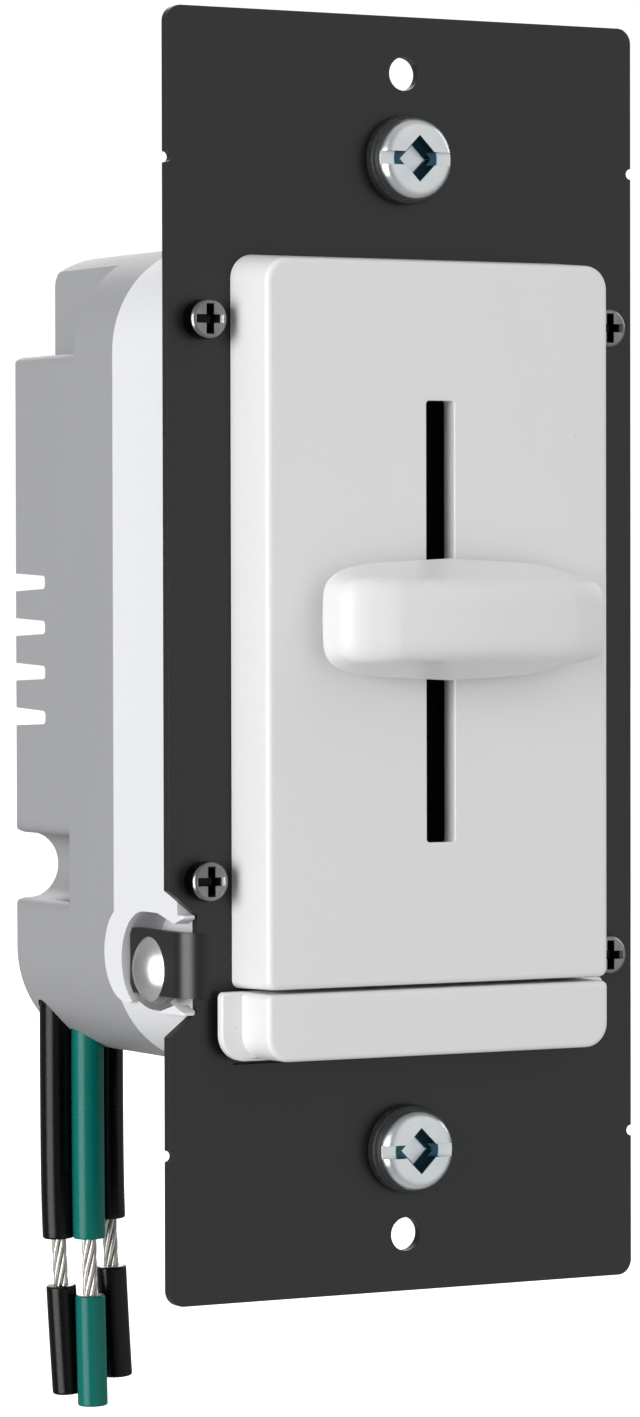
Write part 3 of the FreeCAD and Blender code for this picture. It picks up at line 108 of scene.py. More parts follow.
@dataclass
class Wire:
    """One output of a shader node; arithmetic on it adds Math nodes to its graph."""

    graph: "Graph"
    socket: bpy.types.NodeSocket

    def math(self, operation: str, *values: "float | Wire") -> "Wire":
        """One Math node.

        Args:
            operation: The Math node's operation.
            values: What goes into its sockets, in order.

        Returns:
            The node's output.
        """
        return self.graph.node("ShaderNodeMath", {"operation": operation}, dict(enumerate(values)))

    def __add__(self, other: "float | Wire") -> "Wire":
        """The sum."""
        return self.math("ADD", self, other)

    def __sub__(self, other: "float | Wire") -> "Wire":
        """The difference."""
        return self.math("SUBTRACT", self, other)

    def __rsub__(self, other: "float | Wire") -> "Wire":
        """The difference, the other way round."""
        return self.math("SUBTRACT", other, self)

    def __mul__(self, other: "float | Wire") -> "Wire":
        """The product."""
        return self.math("MULTIPLY", self, other)

    def __pow__(self, other: "float | Wire") -> "Wire":
        """The power."""
        return self.math("POWER", self, other)

    __radd__ = __add__
    __rmul__ = __mul__

    def between(self, low: float, high: float) -> "Wire":
        """A smooth step that is 0 below low and 1 above high.

        Args:
            low: The value where the step begins.
            high: The value where it ends.

        Returns:
            The step.
        """
        settings = {"interpolation_type": "SMOOTHSTEP"}
        sockets = {"Value": self, "From Min": low, "From Max": high}
        return self.graph.node("ShaderNodeMapRange", settings, sockets)


class Graph:
    """The node tree of a material or of the world."""

    def __init__(self, owner: "bpy.types.Material | bpy.types.World") -> None:
        """Turns on the owner's nodes.

        Args:
            owner: The material or the world.
        """
        owner.use_nodes = True
        self.owner = owner
        self.tree = owner.node_tree

    @classmethod
    def surface(cls, name: str) -> "Graph":
        """The graph of a new material called name."""
        return cls(bpy.data.materials.new(name))

    def node(self, kind: str, settings: dict, inputs: dict, output: "int | str | None" = 0) -> "Wire | None":
        """Adds one node of any type.

        Args:
            kind: The node's type.
            settings: Its attributes.
            inputs: Values or wires for its sockets, by name or place.
            output: The output wanted, by name or by its place among those in use, or None.

        Returns:
            That output.
        """
        made = self.tree.nodes.new(kind)
        for key, value in settings.items():
            setattr(made, key, value)
        active = {s.name: s for s in made.inputs if s.enabled}
        for key, value in inputs.items():
            self.feed(active[key] if isinstance(key, str) else made.inputs[key], value)
        if output is None:
            return None
        if isinstance(output, str):
            return Wire(self, made.outputs[output])
        return Wire(self, [s for s in made.outputs if s.enabled][output])

    def feed(self, socket: bpy.types.NodeSocket, value: "float | tuple | Wire") -> None:
        """Links a wire to a socket, or sets the socket's own value.

        Args:
            socket: The input.
            value: A wire, a number, a vector or a colour.
        """
        if isinstance(value, Wire):
            self.tree.links.new(value.socket, socket)
        elif socket.type == "RGBA" and len(value) == 3:
            socket.default_value = (*value, 1.0)
        else:
            socket.default_value = value

    def place(self, source: str = "Object", scale: Point = (1.0, 1.0, 1.0)) -> Wire:
        """Coordinates on the piece, stretched.

        Args:
            source: Object or UV.
            scale: How much each axis is stretched.

        Returns:
            The stretched coordinates.
        """
        coordinates = self.node("ShaderNodeTexCoord", {}, {}, source)
        return self.node("ShaderNodeMapping", {}, {"Vector": coordinates, "Scale": scale})

    def noise(self, place: Wire, size: float, detail: float = 2.0, roughness: float = 0.5) -> Wire:
        """Smooth noise from 0 to 1.

        Args:
            place: The coordinates it reads.
            size: The length of one lump, in the coordinates' units.
            detail: How many finer layers it has.
            roughness: How strong those are.

        Returns:
            The noise.
        """
        inputs = {"Vector": place, "Scale": 1 / size, "Detail": detail, "Roughness": roughness}
        return self.node("ShaderNodeTexNoise", {}, inputs, "Fac")

    def specks(self, place: Wire, spacing: float, reach: float) -> Wire:
        """Round specks, one in each cell: 1 at a speck's middle and 0 past its edge.

        Args:
            place: The coordinates it reads.
            spacing: The cells' size.
            reach: A speck's radius as a share of the spacing.

        Returns:
            The mask.
        """
        cells = self.node("ShaderNodeTexVoronoi", {}, {"Vector": place, "Scale": 1 / spacing}, "Distance")
        return 1 - cells.between(reach * 0.5, reach)

    def blend(self, share: Wire, first: "Colour | Wire", second: "Colour | Wire") -> Wire:
        """A colour between two others.

        Args:
            share: 0 for the first colour and 1 for the second.
            first: The first colour.
            second: The second colour.

        Returns:
            The mixed colour.
        """
        return self.node("ShaderNodeMix", {"data_type": "RGBA"}, {"Factor": share, "A": first, "B": second})

    def bump(self, height: Wire, depth: float, strength: float = 1.0) -> Wire:
        """A bumped normal.

        Args:
            height: The height field, from 0 to 1.
            depth: How far 1 stands above 0.
            strength: How much of the bump is used.

        Returns:
            The normal.
        """
        inputs = {"Height": height, "Distance": depth, "Strength": strength}
        return self.node("ShaderNodeBump", {}, inputs, "Normal")

    def finish(self, **values: "float | tuple | Wire") -> bpy.types.Material:
        """Sets the principled shader's sockets.

        Args:
            values: Values or wires by socket name, with _ for a space.

        Returns:
            The material.
        """
        shader = self.tree.nodes["Principled BSDF"]
        for key, value in values.items():
            self.feed(shader.inputs[key.replace("_", " ")], value)
        return self.owner


def darker(colour: Colour, share: float) -> Colour:
    """A colour brought towards black by a share."""
    return tuple(c * (1 - share) for c in colour)


def tinted(colour: Colour, tint: Colour, share: float) -> Colour:
    """A colour brought towards another by a share."""
    return tuple(c + (t - c) * share for c, t in zip(colour, tint))


# --- Finishes --------------------------------------------------------------------------


@dataclass(frozen=True)
class Moulded:
    """Injection-moulded plastic: even colour, a fine texture and faint flow marks."""

    colour: Colour
    roughness: float
    texture_size: float = 0.35 * MM
    texture_depth: float = 0.006 * MM
    flow_share: float = 0.03
    coat: float = 0.0

    def material(self, name: str) -> bpy.types.Material:
        """Builds the material called name."""
        graph = Graph.surface(name)
        place = graph.place()
        flow = graph.noise(graph.place(scale=(1.0, 1.0, 0.35)), 9 * MM, 3.0)
        fine = graph.noise(place, self.texture_size, 3.0, 0.6)
        peel = graph.noise(place, 2.2 * MM, 1.0)
        colour = graph.blend(flow, self.colour, darker(self.colour, self.flow_share))
        dust = graph.specks(place, 4.5 * MM, 0.035)
        colour = graph.blend(dust * 0.25, colour, darker(self.colour, 0.45))
        roughness = self.roughness + (fine - 0.5) * 0.10 + (flow - 0.5) * 0.06
        height = fine * 0.7 + peel * 0.5
        return graph.finish(
            Base_Color=colour, Roughness=roughness, Normal=graph.bump(height, self.texture_depth),
            Coat_Weight=self.coat, Coat_Roughness=0.12, IOR=1.5,
        )


@dataclass(frozen=True)
class Painted:
    """Sprayed and baked paint over steel: orange peel, faint grit and a satin sheen."""

    colour: Colour
    roughness: float = 0.36

    def material(self, name: str) -> bpy.types.Material:
        """Builds the material called name."""
        graph = Graph.surface(name)
        place = graph.place()
        peel = graph.noise(place, 0.9 * MM, 2.0)
        cloud = graph.noise(place, 14 * MM, 3.0)
        grit = graph.specks(place, 1.6 * MM, 0.07)
        colour = graph.blend(cloud, self.colour, darker(self.colour, 0.12))
        colour = graph.blend(grit * 0.3, colour, tinted(self.colour, (0.2, 0.2, 0.2), 0.25))
        roughness = self.roughness + (cloud - 0.5) * 0.08 + (peel - 0.5) * 0.06
        normal = graph.bump(peel * 0.8 + grit * 0.4, 0.006 * MM)
        return graph.finish(Base_Color=colour, Roughness=roughness, Normal=normal, IOR=1.5)


@dataclass(frozen=True)
class ScrewShade:
    """Where shade is painted on screws: the driven sockets' walls are coloured darker than the heads."""

    spacing: float
    radius: float
    top: float
    bottom: float
    colour: Colour

    def mask(self, graph: Graph) -> Wire:
        """1 where shade is painted inside the sockets, and 0 elsewhere.

        The distance from a socket's axis is taken with the height's size, so that one test serves
        the sockets above and below the middle.

        Args:
            graph: The material's graph.

        Returns:
            The mask.
        """
        place = graph.node("ShaderNodeTexCoord", {}, {}, "Object")
        x, y, z = (graph.node("ShaderNodeSeparateXYZ", {}, {"Vector": place}, axis) for axis in "XYZ")
        rise = z.math("ABSOLUTE", z) - self.spacing
        reach = (x * x + rise * rise) ** 0.5
        inside = 1 - reach.between(self.radius, self.radius + 0.1 * MM)
        edge = 0.05 * MM
        above = y.between(self.top, self.top + edge)
        return inside * above * (1 - y.between(self.bottom - edge, self.bottom))


@dataclass(frozen=True)
class Plated:
    """Plated or bare metal: drawn lines along one axis, a faint tint, small pits and painted shade in screw
    sockets where given.
    """

    colour: Colour
    tint: Colour
    roughness: float = 0.28
    grain: Axis = Axis.X
    line_size: float = 0.12 * MM
    line_depth: float = 0.003 * MM
    sockets: "ScrewShade | None" = None

    def material(self, name: str) -> bpy.types.Material:
        """Builds the material called name."""
        graph = Graph.surface(name)
        stretch = tuple(0.06 if index == self.grain.value else 1.0 for index in range(3))
        lines = graph.noise(graph.place(scale=stretch), self.line_size, 3.0, 0.6)
        place = graph.place()
        cloud = graph.noise(place, 2.6 * MM, 3.0)
        pits = graph.specks(place, 0.8 * MM, 0.10)
        colour = graph.blend(cloud.between(0.3, 0.75), self.colour, self.tint)
        colour = graph.blend(pits * 0.5, colour, darker(self.colour, 0.5))
        # Painted shade: the sockets' walls take a darker colour.
        if self.sockets is not None:
            colour = graph.blend(self.sockets.mask(graph), colour, self.sockets.colour)
        roughness = self.roughness + (lines - 0.5) * 0.16 + (cloud - 0.5) * 0.12
        normal = graph.bump(lines - pits * 0.6, self.line_depth)
        return graph.finish(Base_Color=colour, Metallic=1.0, Roughness=roughness, Normal=normal)


@dataclass(frozen=True)
class Vinyl:
    """An extruded vinyl jacket: faint lines along the lead and a soft sheen."""

    colour: Colour
    roughness: float = 0.32

    def material(self, name: str) -> bpy.types.Material:
        """Builds the material called name; it reads the lead's UV map, around and along."""
        graph = Graph.surface(name)
        lines = graph.noise(graph.place("UV", (1.0, 0.05, 1.0)), 0.03, 2.0)
        scuff = graph.noise(graph.place("UV", (1.0, 1.0, 1.0)), 0.16, 4.0, 0.6)
        worn = tinted(self.colour, (0.5, 0.5, 0.5), 0.004)
        colour = graph.blend(scuff.between(0.45, 0.8), self.colour, worn)
        roughness = self.roughness + (lines - 0.5) * 0.10 + (scuff - 0.5) * 0.12
        normal = graph.bump(lines * 0.8 + scuff * 0.6, 0.002 * MM)
        return graph.finish(Base_Color=colour, Roughness=roughness, Normal=normal, IOR=1.3)


@dataclass(frozen=True)
class Laminate:
    """Pressed paper or fibre: long pale fibres in a resin."""

    colour: Colour
    fibre: Colour
    roughness: float = 0.6

    def material(self, name: str) -> bpy.types.Material:
        """Builds the material called name."""
        graph = Graph.surface(name)
        along = graph.noise(graph.place(scale=(0.12, 1.0, 1.0)), 0.25 * MM, 3.0, 0.65)
        across = graph.noise(graph.place(scale=(1.0, 1.0, 0.12)), 0.25 * MM, 3.0, 0.65)
        weave = (along + across) * 0.5
        colour = graph.blend(weave.between(0.42, 0.62), self.colour, self.fibre)
        roughness = self.roughness + (weave - 0.5) * 0.3
        return graph.finish(
            Base_Color=colour, Roughness=roughness, Normal=graph.bump(weave, 0.012 * MM), IOR=1.5
        )


@dataclass(frozen=True)
class Dipped:
    """A dipped or lacquered component body: glossy, a little uneven, with pinholes."""

    colour: Colour
    roughness: float = 0.22

    def material(self, name: str) -> bpy.types.Material:
        """Builds the material called name."""
        graph = Graph.surface(name)
        place = graph.place()
        sag = graph.noise(place, 2.5 * MM, 2.0)
        pins = graph.specks(place, 1.3 * MM, 0.08)
        colour = graph.blend(sag, self.colour, darker(self.colour, 0.2))
        colour = graph.blend(pins * 0.6, colour, darker(self.colour, 0.6))
        roughness = self.roughness + (sag - 0.5) * 0.15
        normal = graph.bump(sag - pins * 0.4, 0.03 * MM)
        return graph.finish(Base_Color=colour, Roughness=roughness, Normal=normal, Coat_Weight=0.5)


@dataclass(frozen=True)
class Fired:
    """Sintered ferrite: dense, dark and slightly grainy."""

    colour: Colour

    def material(self, name: str) -> bpy.types.Material:
        """Builds the material called name."""
        graph = Graph.surface(name)
        place = graph.place()
        grain = graph.noise(place, 0.15 * MM, 4.0, 0.7)
        colour = graph.blend(grain, self.colour, tinted(self.colour, (0.4, 0.4, 0.4), 0.15))
        return graph.finish(
            Base_Color=colour, Roughness=0.45 + (grain - 0.5) * 0.3, Normal=graph.bump(grain, 0.015 * MM)
        )


WHITE = (0.87, 0.872, 0.872)
# Painted shade: the mounting screws' recesses are coloured dark, tinted teal after the zinc's chromate.
ZINC_SOCKET_SHADE = ScrewShade(41.22 * MM, 2.0 * MM, -3.56 * MM, -2.22 * MM, (0.03, 0.09, 0.12))
# Painted shade: on the black screws, the recesses and everything behind each head's face are coloured near
# black.
HEAD_FLANK_SHADE = ScrewShade(0.0, 100 * MM, -2.32 * MM, 30 * MM, (0.012, 0.012, 0.013))

FINISHES = {
    "plate_paint": Painted((0.0075, 0.008, 0.009)),
    "zinc": Plated((0.76, 0.78, 0.78), (0.66, 0.73, 0.77), 0.32, sockets=ZINC_SOCKET_SHADE),
    "black_fibre": Laminate((0.012, 0.012, 0.013), (0.03, 0.03, 0.032), 0.55),
    "black_screw": Plated((0.26, 0.26, 0.265), (0.18, 0.18, 0.185), 0.28, sockets=HEAD_FLANK_SHADE),
    "nickel": Plated((0.82, 0.82, 0.81), (0.66, 0.66, 0.66), 0.32, Axis.Z),
    "tinned": Plated((0.70, 0.69, 0.65), (0.60, 0.58, 0.54), 0.42, Axis.Z),
    "white_gloss": Moulded(WHITE, 0.42),
    "white_matt": Moulded((0.80, 0.807, 0.823), 0.46, texture_depth=0.009 * MM),
    "grey_shell": Moulded((0.363, 0.367, 0.381), 0.42, texture_depth=0.010 * MM, flow_share=0.06),
    "pot_steel": Plated((0.62, 0.62, 0.62), (0.55, 0.54, 0.52), 0.35, Axis.Z),
    "phenolic": Laminate((0.20, 0.09, 0.035), (0.30, 0.16, 0.07)),
    "black_nylon": Moulded((0.022, 0.022, 0.024), 0.45, flow_share=0.2),
    "bronze": Plated((0.72, 0.50, 0.28), (0.62, 0.42, 0.24), 0.3, Axis.Z),
    "copper": Plated((0.80, 0.48, 0.32), (0.66, 0.36, 0.22), 0.3, Axis.X),
    "spring_steel": Plated((0.55, 0.55, 0.56), (0.44, 0.44, 0.46), 0.3, Axis.Y),
    "board_laminate": Laminate((0.36, 0.24, 0.09), (0.48, 0.34, 0.15)),
    "black_epoxy": Moulded((0.018, 0.018, 0.019), 0.55, texture_depth=0.02 * MM),
    "ferrite": Fired((0.05, 0.05, 0.054)),
    "enamelled_wire": Plated((0.62, 0.24, 0.09), (0.5, 0.16, 0.06), 0.22, Axis.Y),
    "film_case": Dipped((0.72, 0.50, 0.07)),
    "diode_glass": Dipped((0.08, 0.22, 0.48), 0.12),
    "resistor_body": Dipped((0.66, 0.52, 0.34), 0.35),
    "trimmer_blue": Moulded((0.02, 0.10, 0.42), 0.35),
    "black_jacket": Vinyl((0.0006, 0.0006, 0.0007), 0.28),
    "green_jacket": Vinyl((0.0, 0.155, 0.13), 0.28),
}


class Wardrobe:
    """The materials, each made once and handed out by its slot's name."""

    def __init__(self) -> None:
        """An empty wardrobe."""
        self.made: dict[str, bpy.types.Material] = {}

    def get(self, slot: str) -> bpy.types.Material:
        """The material of one slot, made on first use.

        Args:
            slot: The record's material slot.

        Returns:
            The material.
        """
        if slot not in self.made:
            self.made[slot] = FINISHES[slot].material(slot)
        return self.made[slot]


WARDROBE = Wardrobe()


# --- Meshes ----------------------------------------------------------------------------


@dataclass
class Shell:
    """Points and faces of one closed surface, with optional UV coordinates per point."""

    points: np.ndarray
    faces: list
    uv: "np.ndarray | None" = None

    def shifted(self, offset: Point) -> "Shell":
        """The same surface, moved by offset."""
        return Shell(self.points + np.asarray(offset, float), self.faces, self.uv)


def merged(shells: "list[Shell]") -> Shell:
    """Several surfaces as one mesh.

    Args:
        shells: The surfaces.

    Returns:
        Their points and faces together, with UV coordinates where the first has them.
    """
    starts = np.cumsum([0] + [len(s.points) for s in shells[:-1]])
    faces = [tuple(i + start for i in face) for s, start in zip(shells, starts) for face in s.faces]
    uv = None if shells[0].uv is None else np.vstack([s.uv for s in shells])
    return Shell(np.vstack([s.points for s in shells]), faces, uv)


def grid_faces(rows: int, columns: int, wrap_rows: bool) -> list:
    """Quads of a grid whose columns close on themselves.

    Args:
        rows: The number of rings.
        columns: The number of points in each ring.
        wrap_rows: Whether the last ring joins the first.

    Returns:
        The faces, each ring's point joined to its neighbour and to the next ring.
    """
    steps = rows if wrap_rows else rows - 1
    row, column = np.meshgrid(np.arange(steps), np.arange(columns), indexing="ij")
    after, beside = (row + 1) % rows, (column + 1) % columns
    here, there = row * columns, after * columns
    quads = np.stack([here + column, here + beside, there + beside, there + column], -1)
    return [tuple(face) for face in quads.reshape(-1, 4).tolist()]


def lofted(rings: np.ndarray, wrap: bool = False, capped: bool = True) -> Shell:
    """A surface through rings of points, in order.

    Args:
        rings: An array of rings by points by coordinates.
        wrap: Whether the last ring joins the first, as a tube's wall does.
        capped: Whether the two ends are closed with a fan around each ring's middle.

    Returns:
        The surface.
    """
    count, size = rings.shape[:2]
    points, faces = rings.reshape(-1, 3), grid_faces(count, size, wrap)
    if capped and not wrap:
        last = (count - 1) * size
        middles = np.array([rings[0].mean(0), rings[-1].mean(0)])
        first_hub, last_hub = len(points), len(points) + 1
        faces += [((i + 1) % size, i, first_hub) for i in range(size)]
        faces += [(last + i, last + (i + 1) % size, last_hub) for i in range(size)]
        points = np.vstack([points, middles])
    return Shell(points, faces)


def turned(profile: np.ndarray, centre: Point, axis: Axis, steps: int = 64) -> Shell:
    """A surface of revolution: each profile point is carried once round an axis.

    Args:
        profile: Pairs of distance along the axis and radius.
        centre: A point on the axis, from which the distances count.
        axis: The axis.
        steps: The number of points round it.

    Returns:
        The surface, closed at its ends by fans.
    """
    angles = np.linspace(0, TURN, steps, endpoint=False)
    along, radius = profile[:, 0, None], profile[:, 1, None]
    rings = np.zeros((len(profile), steps, 3))
    second, third = (axis.value + 1) % 3, (axis.value + 2) % 3
    rings[..., axis.value] = along
    rings[..., second] = radius * np.cos(angles)
    rings[..., third] = radius * np.sin(angles)
    return lofted(rings).shifted(centre)


def rounded_outline(
    box: "tuple[float, float, float, float]", radii: "float | tuple", steps: int = 10
) -> np.ndarray:
    """A rectangle with rounded corners in the XZ plane.

    Each corner is a quarter circle: its centre plus the radius times the cosine and sine.

    Args:
        box: Lowest x, highest x, lowest z and highest z.
        radii: The corners' radius, or one each for top right, top left, bottom left, bottom right.
        steps: The number of steps in each corner.

    Returns:
        The outline's x and z, anticlockwise seen from the front.
    """
    x0, x1, z0, z1 = box
    r = np.broadcast_to(np.asarray(radii, float), (4,))[:, None]
    start = np.array([0, 1, 2, 3])[:, None] * math.pi / 2
    angles = start + np.linspace(0, math.pi / 2, steps + 1)[None, :]
    centre_x = np.array([x1, x0, x0, x1])[:, None] + np.array([-1, 1, 1, -1])[:, None] * r
    centre_z = np.array([z1, z1, z0, z0])[:, None] + np.array([-1, -1, 1, 1])[:, None] * r
    return np.stack([centre_x + r * np.cos(angles), centre_z + r * np.sin(angles)], -1).reshape(-1, 2)


def at_depth(outline: np.ndarray, depth: float) -> np.ndarray:
    """An XZ outline placed at one depth, as points."""
    return np.stack([outline[:, 0], np.full(len(outline), depth), outline[:, 1]], -1)


def rounded_block(low: Point, high: Point, edge: float) -> Shell:
    """A block with its front and back edges and its corners rounded.

    Its outline is inset by the edge radius times one minus the sine of an angle while its depth
    follows the cosine, so the edge is a quarter circle.

    Args:
        low: The lowest corner.
        high: The highest corner.
        edge: The radius.

    Returns:
        The surface.
    """
    angles = np.linspace(0, math.pi / 2, 5)
    rings = []
    for inset, depth in zip(edge * (1 - np.sin(angles)), low[1] + edge * (1 - np.cos(angles))):
        rings.append((inset, depth))
    rings += [(inset, low[1] + high[1] - depth) for inset, depth in reversed(rings)]
    stack = [
        at_depth(
            rounded_outline((low[0] + i, high[0] - i, low[2] + i, high[2] - i), max(edge - i, 0) + 1e-6, 4), y
        )
        for i, y in rings
    ]
    return lofted(np.array(stack))


def recalculated(mesh: bpy.types.Mesh) -> None:
    """Turns a closed mesh's faces outwards."""
    edit = bmesh.new()
    edit.from_mesh(mesh)
    bmesh.ops.remove_doubles(edit, verts=edit.verts, dist=1e-8)
    bmesh.ops.recalc_face_normals(edit, faces=edit.faces)
    edit.to_mesh(mesh)
    edit.free()


def shade(mesh: bpy.types.Mesh, angle: float) -> None:
    """Shades a mesh smooth, except at edges sharper than an angle in degrees."""
    mesh.polygons.foreach_set("use_smooth", np.ones(len(mesh.polygons), bool))
    mesh.set_sharp_from_angle(angle=math.radians(angle))


def weigh_normals(piece: bpy.types.Object) -> None:
    """Keeps flat faces flat where they run into rounded edges."""
    modifier = piece.modifiers.new("weighted_normals", "WEIGHTED_NORMAL")
    modifier.keep_sharp = True
    modifier.weight = 50


def new_piece(
    name: str, shell: Shell, body: Body, slot: str, *nodes: str, angle: float = 40
) -> bpy.types.Object:
    """Makes one piece from a surface and gives it its body, finish and CAD nodes.

    Args:
        name: The piece's name.
        shell: Its surface.
        body: The body that it rides on.
        slot: Its material slot.
        nodes: The CAD nodes that it stands for.
        angle: Edges sharper than this many degrees stay sharp.

    Returns:
        The piece.
    """
    mesh = bpy.data.meshes.new(name)
    mesh.from_pydata(shell.points.tolist(), [], shell.faces)
    if shell.uv is not None:
        corner_points = np.zeros(len(mesh.loops), int)
        mesh.loops.foreach_get("vertex_index", corner_points)
        mesh.uv_layers.new(name="lead").data.foreach_set("uv", shell.uv[corner_points].ravel())
    recalculated(mesh)
    mesh.materials.append(WARDROBE.get(slot))
    shade(mesh, angle)
    piece = bpy.data.objects.new(name, mesh)
    bpy.context.scene.collection.objects.link(piece)
    weigh_normals(piece)
    attach(piece, body, slot, *nodes)
    return piece


def attach(piece: bpy.types.Object, body: Body, slot: str, *nodes: str) -> None:
    """Says what a piece rides on and what it replaces, and logs it."""
    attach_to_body(piece, body.value)
    if nodes:
        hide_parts(*nodes)
    LOG.info("%s rides on %s", piece.name, body.value)


def refined(
    node: str, slot: str, body: Body, edge: float, segments: int = 3, angle: float = 28
) -> bpy.types.Object:
    """A copy of a CAD node with its flat faces cleaned and its sharp edges rounded.

    Args:
        node: The CAD node.
        slot: Its material slot.
        body: The body that it rides on.
        edge: The radius of the rounding.
        segments: The number of steps across the rounding.
        angle: Edges sharper than this many degrees are rounded.

    Returns:
        The piece.
    """
    mesh = frame["nodes"][node].data.copy()
    edit = bmesh.new()
    edit.from_mesh(mesh)
    bmesh.ops.remove_doubles(edit, verts=edit.verts, dist=1e-6)
    bmesh.ops.dissolve_limit(edit, angle_limit=math.radians(0.6), verts=edit.verts, edges=edit.edges)
    edit.to_mesh(mesh)
    edit.free()
    mesh.materials.clear()
    mesh.materials.append(WARDROBE.get(slot))
    for layer in [a.name for a in mesh.attributes if a.name == "custom_normal"]:
        mesh.attributes.remove(mesh.attributes[layer])
    shade(mesh, 35)
    piece = bpy.data.objects.new(f"{node}_finished", mesh)
    bpy.context.scene.collection.objects.link(piece)
    bevel = piece.modifiers.new("edge_rounding", "BEVEL")
    bevel.width = edge
    bevel.segments = segments
    bevel.limit_method = "ANGLE"
    bevel.angle_limit = math.radians(angle)
    bevel.harden_normals = False
    weigh_normals(piece)
    attach(piece, body, slot, node)
    return piece


def dress(node: str, slot: str) -> None:
    """Gives a CAD node that stays as it is its material."""
    materials = frame["nodes"][node].data.materials
    materials.clear()
    materials.append(WARDROBE.get(slot))
    LOG.info("%s keeps its shape, in %s", node, slot)


def corners(node: str) -> "tuple[np.ndarray, np.ndarray]":
    """A CAD node's lowest and highest corner, as arrays."""
    low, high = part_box(node)
    return np.array(low), np.array(high)


# --- Lines that pieces follow ----------------------------------------------------------


def smooth_line(name: str, route: "list[Point]") -> np.ndarray:
    """Points along the smooth spline whose control points are a route.

    Args:
        name: The name of the curve, which is removed again.
        route: The control points.

    Returns:
        The points.
    """
    curve = bpy.data.curves.new(name, "CURVE")
    curve.dimensions = "3D"
    curve.resolution_u = 24
    spline = curve.splines.new("NURBS")
    spline.points.add(len(route) - 1)
    spline.points.foreach_set("co", np.hstack([np.array(route), np.ones((len(route), 1))]).ravel())
    spline.order_u = 3
    spline.use_endpoint_u = True
    holder = bpy.data.objects.new(name, curve)
    bpy.context.scene.collection.objects.link(holder)
    bpy.context.view_layer.update()
    mesh = bpy.data.meshes.new_from_object(holder.evaluated_get(bpy.context.evaluated_depsgraph_get()))
    points = np.zeros(len(mesh.vertices) * 3)
    mesh.vertices.foreach_get("co", points)
    bpy.data.objects.remove(holder)
    bpy.data.curves.remove(curve)
    bpy.data.meshes.remove(mesh)
    return points.reshape(-1, 3)


def circles(around: np.ndarray, first: np.ndarray, second: np.ndarray) -> np.ndarray:
    """Unit circles: one direction times the cosine plus the other times the sine.

    Args:
        around: The angles.
        first: One direction for each circle.
        second: The direction square to it.

    Returns:
        An array of circles by angles by coordinates.
    """
    cosine, sine = np.cos(around)[None, :, None], np.sin(around)[None, :, None]
    return cosine * first[:, None] + sine * second[:, None]


@dataclass
class Line:
    """A line through space with its length so far and two directions square to it."""

    points: np.ndarray
    run: np.ndarray = field(init=False)
    side: np.ndarray = field(init=False)
    front: np.ndarray = field(init=False)
    tangent: np.ndarray = field(init=False)

    def __post_init__(self) -> None:
        """Works out lengths and directions; front is +Y made square to the line."""
        steps = np.linalg.norm(np.diff(self.points, axis=0), axis=1)
        self.run = np.concatenate([[0], np.cumsum(steps)])
        self.tangent = np.gradient(self.points, axis=0)
        self.tangent /= np.linalg.norm(self.tangent, axis=1)[:, None]
        along_y = self.tangent[:, 1, None] * self.tangent
        self.front = np.array([0.0, 1.0, 0.0]) - along_y
        self.front /= np.linalg.norm(self.front, axis=1)[:, None]
        self.side = np.cross(self.front, self.tangent)

    def at(self, run: np.ndarray) -> "tuple[np.ndarray, np.ndarray, np.ndarray]":
        """Points and the two square directions at lengths along the line.

        Args:
            run: The lengths.

        Returns:
            Points, side directions and front directions, read between the line's points.
        """
        return tuple(
            np.stack([np.interp(run, self.run, values[:, i]) for i in range(3)], -1)
            for values in (self.points, self.side, self.front)
        )

    def length_at_height(self, height: float) -> float:
        """The length along a line that goes down, at which it reaches a height."""
        return float(np.interp(-height, -self.points[:, 2], self.run))

    def tube(
        self, runs: np.ndarray, radii: np.ndarray, steps: int = 32, swirl: "tuple | None" = None
    ) -> Shell:
        """A tube: at each length, a circle of that radius square to the line.

        With a swirl the circles' middles go round the line: offset times the cosine and sine of
        the phase plus a full turn per pitch.

        Args:
            runs: Lengths along the line.
            radii: The radius at each.
            steps: The number of points round it.
            swirl: The offset at each length, the phase and the pitch.

        Returns:
            The surface, with UV coordinates in units of 2 mm along and one turn around.
        """
        middle, side, front = self.at(runs)
        if swirl is not None:
            offset, phase, pitch = swirl
            angle = (phase + TURN * runs / pitch)[:, None]
            middle = middle + offset[:, None] * (np.cos(angle) * side + np.sin(angle) * front)
        around = np.linspace(0, TURN, steps, endpoint=False)
        shell = lofted(middle[:, None] + radii[:, None, None] * circles(around, side, front))
        u = np.tile(1 - np.abs(around / math.pi - 1), len(runs))
        v = np.repeat(runs / (2 * MM), steps)
        ends = [[0.5, v[0]], [0.5, v[-1]]]
        shell.uv = np.vstack([np.stack([u, v], -1), ends])
        return shell


# --- Studio ----------------------------------------------------------------------------


